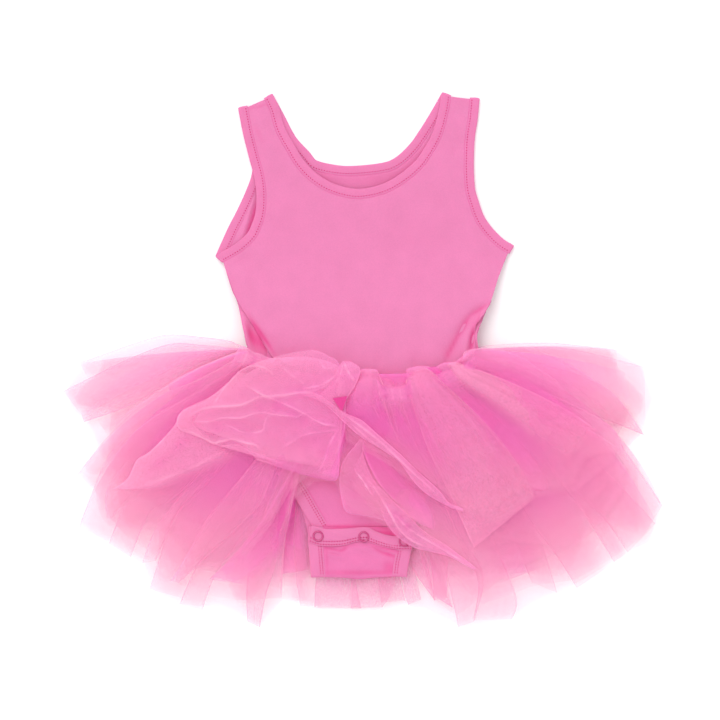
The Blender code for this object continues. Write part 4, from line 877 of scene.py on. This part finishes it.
body = {"rise": 105.0, "belly": 2.5, "foot": -8.0, "bellyRise": 60.0, "top": 215.0, "fall": 90.0, "middle": 3.0,
        "half": 124.0, "thickness": 0.9, "lowest": 0.5, "creaseShade": 0.1, "creaseEnds": 0.52, "finer": 8,
        "armRows": 9, "sideRows": 8, "columns": 36, "flat": (0.25, 0.245), "briefFrontFlat": (0.20, 0.165),
        "briefBackFlat": (0.205, 0.225)}
armSeam = {("front", "Left"): "frontArmLeft", ("back", "Left"): "backArmLeft",
           ("front", "Right"): "armRight", ("back", "Right"): "armRight"}

# Creases: from x, y to x, y, then half width and height (below 0 is a trough)
bodiceCreases = {
    "front": [
        (-106, 49, -94, 30, 3.0, -1.1), (-94, 30, -72, 4, 4.5, -1.4), (-88, 36, -68, 14, 5.0, 0.9),
        (108, 49, 93, 38, 3.2, -2.2), (93, 38, 83, 21, 3.6, -2.6), (84, 25, 73, -1, 4.2, -1.8),
        (107, 40, 95, 25, 3.0, 1.6), (92, 24, 88, 2, 3.0, 1.0), (98, 30, 93, 8, 2.6, -2.4),
        (-64, -2, -60, 12, 3.5, -0.8), (-42, -6, -40, 9, 3.5, 0.6), (-22, -9, -22, 6, 3.0, -0.7),
        (-8, -10, -6, 8, 3.5, 0.6), (12, -11, 13, 5, 3.2, -0.8), (30, -10, 28, 8, 3.6, 0.6),
        (46, -9, 43, 7, 3.0, -0.7), (62, -5, 57, 11, 3.8, 0.6), (76, 0, 70, 14, 3.4, -0.7),
        (-80, 196, -88, 188, 2.2, -0.35), (84, 190, 78, 176, 2.6, -0.3), (-112, 84, -98, 90, 3.5, -0.6),
        (116, 88, 100, 92, 4.0, -0.5), (-60, 150, -40, 120, 12, 0.35), (20, 118, 64, 92, 16, -0.35),
        (-70, 70, 10, 60, 22, 0.35), (-30, 40, 60, 34, 20, -0.3)],
    "back": [
        (-104, 38, -100, 14, 2.4, 1.9), (-98, 30, -92, 8, 2.6, -2.4), (-108, 46, -102, 40, 3.0, -0.7),
        (-95, 138, -105, 108, 1.8, 1.3), (103, 34, 98, 12, 3.0, 0.9), (-99, 120, -92, 140, 3.0, -0.5),
        (-60, 166, -20, 158, 5.0, -0.3)],
}
# Painted shade where the cloth lies in its own shade: x, y to x, y, half width, strength
bodiceShade = {
    "front": [
        (-92, 30, -77, 6, 1.6, 0.9), (-94, 29, -86, 9, 3.0, 1.0), (-98, 36, -90, 24, 1.6, 0.6),
        (108, 48, 93, 38, 1.5, 0.5), (93, 38, 84, 22, 1.7, 0.55), (85, 26, 70, -3, 1.9, 0.6),
        (96, 30, 93, 6, 2.3, 1.0), (102, 40, 98, 28, 1.6, 0.5), (-97.5, 218.4, -87, 221.6, 0.7, 1.0),
        (-84, 221.5, -80, 222, 0.9, 0.8), (-30, -10, 40, -16, 4.0, 0.35), (-94, 205, -88, 190, 2.0, 0.15)],
    "back": [
        (-92, 27, -86, 8, 5.0, 0.8), (-88, 18, -80, 6, 3.5, 0.7), (-91, 139, -96, 119, 2.6, 1.0),
        (-95, 124, -101.5, 107, 2.2, 1.0), (-60, 168, -20, 156, 9.0, 0.3), (-20, 156, 40, 160, 9.0, 0.3),
        (30, 160, 62, 188, 7.0, 0.3), (-100, 30, -94, 12, 3.0, 0.8)],
}


def waistHeight(which, x):
    # y of the half ellipse of the waist seam below x
    line = waist[which]
    across = np.minimum(np.abs(x - line["middle"]) / line["half"], 1)
    return line["ends"] - line["drop"] * np.sqrt(1 - across ** 2)


def backLie(x, y):
    # underside of the back: on the surface, then up on to the gathers over the last of its length
    return pile["backPanel"] * smooth(1 - (y - waistHeight("back", x)) / body["rise"])


def frontLie(x, y):
    # the back's height, the wall between them and a low belly: a parabola across by soft ends down
    lengthwise = smooth((y - body["foot"]) / body["bellyRise"]) * smooth((body["top"] - y) / body["fall"])
    across = np.maximum(0, 1 - ((x - body["middle"]) / body["half"]) ** 2)
    return backLie(x, y) + pile["frontPanel"] - pile["backPanel"] + body["belly"] * lengthwise * across


def creased(x, y, table):
    # the sum of soft bells across short straight lines, each fading out at its ends
    rise = np.zeros_like(x)
    for x1, y1, x2, y2, width, height in table:
        length = math.hypot(x2 - x1, y2 - y1)
        run = ((x - x1) * (x2 - x1) + (y - y1) * (y2 - y1)) / length ** 2
        away = ((x - x1) * (y2 - y1) - (y - y1) * (x2 - x1)) / length
        rise = rise + height * bump(away, width) * bump(run - 0.5, body["creaseEnds"])
    return rise


def halfPanel(side, hand):
    # Rows run from the shoulder to the waist, columns from the side to the middle: a point is the
    # side line less (1 - cos) of the way to the neck and middle line, sagging at the waist.
    armRows, sideRows = (body[key] * body["finer"] for key in ("armRows", "sideRows"))
    downArm, downSide = np.linspace(0, 1, armRows + 1), np.linspace(0, 1, sideRows + 1)
    arm = throughPoints(seams[armSeam[side, hand]], downArm)
    outer = np.vstack([arm, throughPoints(seams[side + "Side" + hand], downSide)[1:]])
    neck = throughPoints(pointsOf(seams[side + "Neck"])[::1 if hand == "Left" else -1], downSide / 2)
    bottom = np.array([waist[side]["middle"], waist[side]["ends"] - waist[side]["drop"]])
    down = downArm[1:, None]
    inner = np.vstack([neck, neck[-1] * (1 - down) + bottom * down])
    angle = np.pi / 2 * np.linspace(0, 1, body["columns"] + 1)[:, None]
    across = (1 - np.cos(angle))[..., None]
    grid = outer[None] * (1 - across) + inner[None] * across
    low = np.maximum(0, (np.arange(armRows + sideRows + 1)[None, :] - armRows) / sideRows)
    grid[..., 1] -= waist[side]["drop"] * (np.sin(angle) + np.cos(angle) - 1) * low ** 2
    return grid, neck, arm


def layJersey(piece, node):
    # a wall of jersey laid on what is under it
    wall = piece.modifiers.new("thickness", "SOLIDIFY")
    wall.thickness, wall.offset = body["thickness"] * mm, 0.0
    wall.use_even_offset, wall.use_rim = False, True
    place(piece, node)


def bodicePanel(side, lie, name, node):
    # two half panels welded at their middle line, lifted by the creases; returns the neck and arm seams
    left, neckLeft, armLeft = halfPanel(side, "Left")
    right, neckRight, armRight = halfPanel(side, "Right")
    grid = np.vstack([left, right[::-1]])
    x, y = grid[..., 0], grid[..., 1]
    creases = creased(x, y, bodiceCreases[side])
    # painted shade: the colour deepens in the listed shaded places and in the troughs of the creases
    deep = creased(x, y, bodiceShade[side]) - body["creaseShade"] * np.minimum(creases, 0)
    points = np.stack([x, y, np.maximum(lie(x, y) + pile["wall"] / 2 + creases, body["lowest"])], axis=-1)
    columns, rows = left.shape[:2]
    half = gridFaces(columns, rows)
    piece = meshOf(name, points, np.vstack([half, half + columns * rows]), jersey, grid * mm,
                   {"deep": np.clip(deep, 0, 1)})
    layJersey(weld(piece), node)
    return np.vstack([neckLeft, neckRight[-2::-1]]), armLeft, armRight


def outwards(points, side):
    # unit vectors square to a line; side 1 is to the left of its direction
    step = np.vstack([points[1:2] - points[:1], points[2:] - points[:-2], points[-1:] - points[-2:-1]])
    step = step / np.linalg.norm(step, axis=1, keepdims=True)
    return np.stack([-step[:, 1], step[:, 0]], axis=1) * side


# A binding lies from gap to width beyond its seam; broad and rounded are the powers of its oval
binding = {"gap": -0.25, "width": 8.3, "thick": 0.85, "around": 20, "broad": 0.75, "rounded": 0.6, "foldSteps": 9,
           "stitchIn": 1.9, "stitchRise": 0.62, "ditch": 0.25, "flatWidth": 0.0102}


def bindingSide(seam, square, lie, gap=binding["gap"]):
    # sewn edge and free edge of a binding at each point of its seam
    pair = []
    for away in (gap, binding["width"]):
        flat = seam + square * away
        pair.append(np.column_stack([flat, lie(flat[:, 0], flat[:, 1]) + pile["wall"] / 2]))
    return np.stack(pair, axis=1)


def faced(pairs, up):
    # a flat stretch with the way that it faces
    return pairs, np.tile([0.0, 0.0, up], (len(pairs), 1))


def foldOver(before, after, heading):
    # half turns from one pair of edge points to the next: they bulge along heading
    angle = np.pi * np.linspace(0, 1, binding["foldSteps"] + 2)[1:-1]
    share = ((1 - np.cos(angle)) / 2)[:, None, None]
    pairs = before[None] * (1 - share) + after[None] * share
    reach = np.abs(before[:, 2] - after[:, 2])[None, :] / 2 * np.sin(angle)[:, None]
    pairs[..., :2] += heading * reach[..., None]
    sign = 1 if before[0, 2] > after[0, 2] else -1
    return pairs, np.column_stack([np.outer(np.sin(angle), heading), sign * np.cos(angle)])


def oval(around, broad, rounded):
    # an oval section: share across and height, from the cosine and sine of each turn to two powers
    turn = turns(around)
    return (1 - squared(np.cos(turn), broad)) / 2, squared(np.sin(turn), rounded)


def between(pairs, across):
    # points at shares of the way from the first edge to the second
    return pairs[:, None, 0] * (1 - across)[None, :, None] + pairs[:, None, 1] * across[None, :, None]


def tube(name, pairs, faces, ring):
    # A flat soft tube: round each pair of edge points runs a flattened oval, its thin way along the
    # face direction, with a shallow ditch where the needle pulls it down.
    across, thick = oval(binding["around"], binding["broad"], binding["rounded"])
    needle = bump(across * binding["width"] - binding["stitchIn"], 1.0)
    thick = thick * binding["thick"] * (1 - binding["ditch"] * needle)
    points = between(pairs, across) + faces[:, None, :] * thick[None, :, None]
    count, around = points.shape[:2]
    run = runOf(pairs.mean(axis=1))
    uv = np.stack([np.repeat(run[:, None], around, axis=1), np.tile(across * binding["width"], (count, 1))],
                  axis=-1)
    piece = meshOf(name, points, gridFaces(count, around, True, ring), trim, uv * mm)
    return outward(piece if ring else capEnds(piece, count, around))


def squarePast(square, a, b):
    # the direction square to a binding's width that leads on from a to b
    ahead = np.array([-square[1], square[0]])
    return ahead if ahead @ (b - a) > 0 else -ahead


def sharedAt(one, k, other, m):
    # both lines get the middle direction of their two
    both = one[k] + other[m]
    one[k] = other[m] = both / np.linalg.norm(both)


def layBinding(name, node, stretches, ring):
    # one tube along all the stretches; the strip is as long as their middle line
    pairs, faces = (np.vstack(part) for part in zip(*stretches))
    piece = place(tube(name, pairs, faces, ring), node)


# Length, spacing and half width of a stitch, how blunt its ends are, and the pulled thread's half width
# and height
thread = {"long": 1.15, "pitch": 2.3, "radius": 0.5, "blunt": 0.12, "sides": 6, "along": 5, "cord": 0.3,
          "cordRise": 0.25}
upward = np.array([0.0, 0.0, 1.0])


def roundLine(ahead, radius):
    # rings of points round lines that run ahead: radius * (cos * side + sin * up) at even turns
    ahead = ahead / np.linalg.norm(ahead, axis=1, keepdims=True)
    turn = turns(thread["sides"])
    side = np.cross(ahead, upward)[:, None, None]
    return (np.cos(turn)[:, None] * side + np.sin(turn)[:, None] * upward) * radius[None, :, None, None]


def stitchRow(name, pairs, ins, rise):
    # Stitches are short rounded threads laid end to end with a gap: their radius follows a half
    # circle, and they repeat at even steps along lines parallel to the sewn edge.
    run = runOf(pairs.mean(axis=1))
    count = int(run[-1] / thread["pitch"])
    centres = (np.arange(count) + 0.5) * thread["pitch"]
    s = np.linspace(0, 1, thread["along"])
    radius = thread["radius"] * np.sqrt(np.maximum(thread["blunt"], 1 - (2 * s - 1) ** 4))
    stitches = []
    for inset in ins:
        share = inset / binding["width"]
        line = pairs[:, 0] * (1 - share) + pairs[:, 1] * share + upward * rise
        at = readAt(centres[:, None] + (s[None, :] - 0.5) * thread["long"], run, line)
        stitches.append(at[:, :, None, :] + roundLine(at[:, -1] - at[:, 0], radius))
    points = np.vstack(stitches)
    one = gridFaces(thread["along"], thread["sides"], True)
    offsets = (np.arange(len(points)) * thread["along"] * thread["sides"])[:, None, None]
    place(outward(meshOf(name, points, (one[None] + offsets).reshape(-1, 4), threadFinish)))


def seamCord(name, pairs):
    # the pulled thread in the ditch of a seam: a thin round tube along the sewn edge
    line = pairs[:, 0] + upward * thread["cordRise"]
    points = line[:, None] + roundLine(np.gradient(line, axis=0), np.array([thread["cord"]]))[:, 0]
    place(outward(meshOf(name, points, gridFaces(len(line), thread["sides"], True), seamFinish)))


def sew(name, edges, ins, rise):
    # stitches and the pulled thread along each named stretch
    for label, pairs in edges.items():
        stitchRow(name + "Stitches" + label, pairs, ins, rise)
    for label, pairs in edges.items():
        seamCord(name + "Seam" + label, pairs)


def ringBinding(name, front, back, side, node):
    # along the front seam, round the fold, back along the seam beneath it and round to the start
    squareFront, squareBack = outwards(front, side), outwards(back, side)
    sharedAt(squareFront, 0, squareBack, 0)
    sharedAt(squareFront, -1, squareBack, -1)
    over = bindingSide(front, squareFront, frontLie)
    under = bindingSide(back, squareBack, backLie)[::-1]
    end = foldOver(over[-1], under[0], squarePast(squareFront[-1], front[-2], front[-1]))
    start = foldOver(under[-1], over[0], squarePast(squareFront[0], front[1], front[0]))
    layBinding(name, node, [faced(over, 1.0), end, faced(under, -1.0), start], True)
    sew(name, {"Front": over, "Back": under}, [binding["stitchIn"]], binding["thick"] * binding["stitchRise"])


frontSeams = bodicePanel("front", frontLie, "bodiceFront", "bodice_front")
backSeams = bodicePanel("back", backLie, "bodiceBack", "bodice_back")
for k, (name, side, node) in enumerate([("neckBinding", 1, "neck_binding"),
                                        ("armholeBindingLeft", -1, "armhole_binding_left"),
                                        ("armholeBindingRight", 1, "armhole_binding_right")]):
    ringBinding(name, frontSeams[k], backSeams[k], side, node)
print("bodice laid")

# Brief, flap, leg bindings and tape
# The legs' bindings and the flap that folds up over the front
leg = {"inside": -4.8, "flatWidth": 0.016, "stitchIns": [1.4, 2.8], "stitchRise": 0.7, "middle": -1.5, "lean": 3.2,
       "leanFrom": -140.0, "leanOver": 46.0, "drop": 0.5, "shares": 90, "columns": 60, "rows": 70, "sideRows": 12,
       "flapRows": 40, "turnSteps": 7, "deepest": -0.5, "creaseShade": 0.8, "overWaist": 0.3,
       "sag": 1.0, "sagLeft": -36.5, "sagWide": 70, "sagMore": 1.3, "sagMiddle": -3.0, "sagHalf": 9.0,
       "flapLeft": [-36.5,-186, -37.4,-176, -38.2,-166, -38.9,-155, -38.4,-144.2],
       "flapRight": [30.3,-185.5, 31.6,-176, 33.2,-168, 34.8,-157, 36.5,-144.6]}
# Creases and painted shade of the brief, with the same columns as the bodice's
briefCreases = [
    (-34, -147.5, 4, -146.8, 5, 1.2), (14, -151, 34, -155, 5, 1.1), (-30, -120, 10, -104, 8, 0.5),
    (-60, -70, -40, -120, 7, -0.4), (20, -60, 24, -110, 9, 0.5)]
# Wrinkles of the flap below the tape, fanning out from under the snaps
flapCreases = [
    (-33, -163, -19, -165.5, 1.5, -1.0), (-19, -165.5, -12, -162, 1.5, -0.9), (-30, -166, -18, -169.5, 1.5, -0.9),
    (-31, -164.6, -19, -167.4, 1.5, 0.9), (-28, -169, -14, -172, 1.8, 0.8), (-11, -163, 12, -163, 3.4, 1.2),
    (5, -160, 16, -166, 1.6, -1.1), (16, -166, 29, -170.5, 1.7, -1.0), (8, -159, 30, -167, 1.8, 0.8),
    (-22, -180, 8, -176, 6, 0.9), (-6, -170, -8, -183, 6, 0.7), (18, -176, 28, -182, 5, -0.6)]
# painted shade of the brief and of the flap, in the places where they lie in shade
briefShade = [
    (-56, -104, -22, -105, 3.0, 0.2), (-40, -145.5, 4, -144.5, 2.0, 0.9), (6, -146, 40, -152, 3.5, 0.9),
    (-55, -104, -34, -138, 2.0, 0.4)]
flapShade = [
    (-38, -145.4, 4, -144.4, 1.6, 0.8), (9, -148.5, 37, -151.5, 3.4, 1.0), (8, -145, 37, -146, 1.2, 0.5),
    (-36, -184, 32, -184, 2.0, 0.5), (-34, -160, -8, -160.5, 2.2, 0.5), (8, -160, 36, -166, 2.2, 0.6),
    (-31.5, -160, -30, -186, 1.0, 0.4)]


def mirrored(points):
    # the same line for the other leg, leaning in towards the crotch fold
    x, y = pointsOf(points).T
    low = np.maximum(0, leg["leanFrom"] - y) / leg["leanOver"]
    return np.column_stack([2 * leg["middle"] - x - leg["lean"] * low, y + leg["drop"] * low])


def flatLie(height):
    # the same height everywhere
    return lambda x, y: np.full_like(x, height)


def briefGrid(which, legLine):
    # The sides run from the end of the waist seam along the leg line; a point goes across by
    # (1 - cos) / 2 and sags with the waist at the top.
    line = waist[which]
    sides = []
    for end, seam in ((-1, legLine), (1, mirrored(legLine))):
        top = np.array([line["middle"] + end * line["half"], line["ends"] - leg["overWaist"]])
        run = throughPoints(seam, np.linspace(0, 1, leg["rows"] + 1))
        lead = np.linspace(0, 1, leg["sideRows"] + 1)[:-1, None]
        sides.append(np.vstack([top * (1 - lead) + run[0] * lead, run]))
    share = np.linspace(0, 1, leg["columns"] + 1)[:, None]
    across = ((1 - np.cos(np.pi * share)) / 2)[..., None]
    grid = sides[0][None] * (1 - across) + sides[1][None] * across
    down = np.linspace(0, 1, len(sides[0]))[None, :]
    grid[..., 1] -= line["drop"] * np.sin(np.pi * share) * (1 - down) ** 2
    return grid


def briefFront():
    # flat on the gathers, lifted by its creases
    grid = briefGrid("front", seams["frontLeg"])
    x, y = grid[..., 0], grid[..., 1]
    points = np.stack([x, y, pile["frontPanel"] + pile["wall"] / 2 + creased(x, y, briefCreases)], axis=-1)
    # painted shade deepens the brief's colour in its listed places
    piece = meshOf("briefFront", points, gridFaces(*x.shape), briefJersey, grid * mm,
                   {"deep": np.clip(creased(x, y, briefShade), 0, 1)})
    layJersey(piece, "brief_front")


def briefBack():
    # runs down under the front one, round the crotch fold in a half circle and up as the flap
    grid = briefGrid("back", seams["backLeg"])
    radius = (pile["flap"] - pile["backPanel"]) / 2
    middle = (pile["flap"] + pile["backPanel"] + pile["wall"]) / 2
    lower = np.concatenate([grid, np.full_like(grid[..., :1], pile["backPanel"] + pile["wall"] / 2)], axis=-1)
    edge = grid[:, -1]
    edgeX, edgeY = edge[:, :1], edge[:, 1:]
    angle = np.pi * np.linspace(0, 1, leg["turnSteps"] + 2)[1:-1][None, :]
    # the fold sags in a half wave between its ends and a little more in the middle
    sag = leg["sag"] * np.sin(np.pi * (edgeX - leg["sagLeft"]) / leg["sagWide"])
    sag = sag + leg["sagMore"] * bump(edgeX - leg["sagMiddle"], leg["sagHalf"])
    turn = np.stack([np.repeat(edgeX, leg["turnSteps"], axis=1), edgeY - (sag + radius) * np.sin(angle),
                     np.repeat(middle - radius * np.cos(angle), len(edge), axis=0)], axis=-1)
    rise = np.linspace(0, 1, leg["flapRows"])
    left, right = throughPoints(leg["flapLeft"], rise), throughPoints(leg["flapRight"], rise)
    share = ((edgeX - edgeX[0]) / (edgeX[-1] - edgeX[0]))[..., None]
    flat = left[None] * (1 - share) + right[None] * share
    x, y = flat[..., 0], flat[..., 1]
    creases = creased(x, y, flapCreases)
    flap = np.stack([x, y, pile["flap"] + pile["wall"] / 2 + np.maximum(creases, leg["deepest"])], axis=-1)
    points = np.concatenate([lower, turn, flap], axis=1)
    # painted shade on the flap: in its listed places and in the troughs of its creases
    deep = np.zeros(points.shape[:2])
    shade = creased(x, y, flapShade) - leg["creaseShade"] * np.minimum(creases, 0)
    deep[:, -leg["flapRows"]:] = np.clip(shade, 0, 1)
    run = runOf(points[leg["columns"] // 2])
    uv = np.stack([points[..., 0], np.tile(run, (len(points), 1))], axis=-1)
    piece = meshOf("briefBack", points, gridFaces(*points.shape[:2]), briefJersey, uv * mm, {"deep": deep})
    layJersey(piece, "brief_back")


def legBinding(name, mirror, node):
    # up the front's leg seam, round the fold at the side, down the back's and round up the flap's edge
    shares = np.linspace(0, 1, leg["shares"] + 1)
    front, back = throughPoints(seams["frontLeg"], shares)[::-1], throughPoints(seams["backLeg"], shares)
    flap = throughPoints(leg["flapRight" if mirror else "flapLeft"], np.linspace(0, 1, 24))
    side = -1 if mirror else 1
    if mirror:
        front, back = mirrored(front), mirrored(back)
    squareFront, squareBack = outwards(front, side), outwards(back, -side)
    sharedAt(squareFront, -1, squareBack, 0)
    squareBack[-1] = (-side, 0.0)
    over, under, top = (bindingSide(line, square, flatLie(pile[key]), leg["inside"]) for line, square, key in (
        (front, squareFront, "frontPanel"), (back, squareBack, "backPanel"), (flap, outwards(flap, side), "flap")))
    atSide = foldOver(over[-1], under[0], squarePast(squareFront[-1], front[-2], front[-1]))
    atCrotch = foldOver(under[-1], top[0], np.array([0.0, -1.0]))
    stretches = [faced(over, 1.0), atSide, faced(under, -1.0), atCrotch, faced(top, 1.0)]
    layBinding(name, node, stretches, False)
    sew(name, {"Front": over, "Flap": top}, leg["stitchIns"], binding["thick"] * leg["stitchRise"])


# The tape's two edges, its creases, and its rows of stitches as shares of its width
tape = {"top": [-44,-142.6, -33.5,-146, -20,-146, -9,-145.4, 1.5,-144.5, 6.5,-145.3, 12,-148.4, 24,-152, 42,-153],
        "bottom": [-46.5,-157.8, -36.5,-161, -19,-161, -7,-158, 1,-157, 8,-158.6, 18,-161.8, 30.5,-164.2,
                   43,-164.5],
        "creases": [(-26, -150, -8, -151, 2.0, 0.3), (5, -147.6, 16, -155.5, 1.6, 1.0),
                    (16, -155.5, 26, -159.5, 1.6, 0.9), (8, -150.5, 20, -158.5, 1.5, -0.9),
                    (16, -151, 30, -153, 1.5, -0.9), (-34, -157, -20, -158, 1.6, -0.3),
                    (-6, -157, -16, -156, 2, -0.4), (-44, -147, -34, -148.5, 1.6, -0.5)],
        "shares": 110, "around": 28, "broad": 0.8, "rounded": 0.5, "thick": 0.85, "ditch": 0.25,
        "stitchRows": (0.72, 0.90), "stitchRise": 0.8, "underLift": 0.8, "snapDip": 0.35, "dipWidth": 5.5,
        "flat": (0.092, 0.0155)}


def snapTape():
    # A folded strip: the same flat tube as the bindings, between its top and its bottom line.  The
    # needle's rows and the snaps press it down; its underside follows only the rises.
    share = np.linspace(0, 1, tape["shares"] + 1)
    height = pile["tape"] + pile["wall"] / 2
    pairs = np.stack([np.column_stack([line, np.full(len(share), height)]) for line in
                      (throughPoints(tape[side], share) for side in ("top", "bottom"))], axis=1)
    across, thick = oval(tape["around"], tape["broad"], tape["rounded"])
    thick = thick * tape["thick"]
    points = between(pairs, across)
    ditch = sum(tape["ditch"] * bump((across - row) * 14, 0.9) for row in tape["stitchRows"])
    points[..., 2] += (thick * (1 - ditch))[None, :]
    lift = creased(points[..., 0], points[..., 1], tape["creases"])
    for x, y in snaps["centres"]:
        lift = lift - tape["snapDip"] * bump(np.hypot(points[..., 0] - x, points[..., 1] - y), tape["dipWidth"])
    points[..., 2] += np.where(thick[None, :] > 0, lift, np.maximum(lift, 0) * tape["underLift"])
    count, around = points.shape[:2]
    piece = meshOf("snapTape", points, gridFaces(count, around, True), trim, points[..., :2] * mm)
    place(outward(capEnds(piece, count, around)), "snap_tape")
    ins = [row * binding["width"] for row in tape["stitchRows"]]
    stitchRow("snapTapeStitches", pairs, ins, tape["thick"] * tape["stitchRise"])


# Open ring snaps: centres, half width, half thickness of the wire and its low swellings
snaps = {"names": ("Left", "Middle", "Right"), "centres": ((-38.5, -152.5), (1.0, -153.0), (36.0, -157.0)),
         "radius": 4.0, "wire": 0.78, "around": 48, "section": 14, "prongs": 5, "prongRise": 0.10, "above": 0.55,
         "sunk": -0.25}


def snapRing(name, centre, node):
    # an open prong ring: a wire of round section bent to a circle, flattened where it meets the cloth
    a, b = turns(snaps["around"])[:, None], turns(snaps["section"])[None, :]
    wire = snaps["wire"] * (1 + snaps["prongRise"] * np.cos(snaps["prongs"] * a))
    radius = snaps["radius"] + wire * np.cos(b)
    z = pile["tape"] + pile["wall"] + snaps["above"] + np.maximum(wire * np.sin(b), snaps["sunk"])
    points = np.stack([centre[0] + radius * np.cos(a), centre[1] + radius * np.sin(a), z], axis=-1)
    place(outward(meshOf(name, points, gridFaces(*z.shape, True, True), enamel)), node)


briefFront()
briefBack()
legBinding("legBindingLeft", False, "leg_binding_left")
legBinding("legBindingRight", True, "leg_binding_right")
snapTape()
for name, centre in zip(snaps["names"], snaps["centres"]):
    snapRing("snap" + name, centre, "snap_" + name.lower())
print("brief and snaps laid")
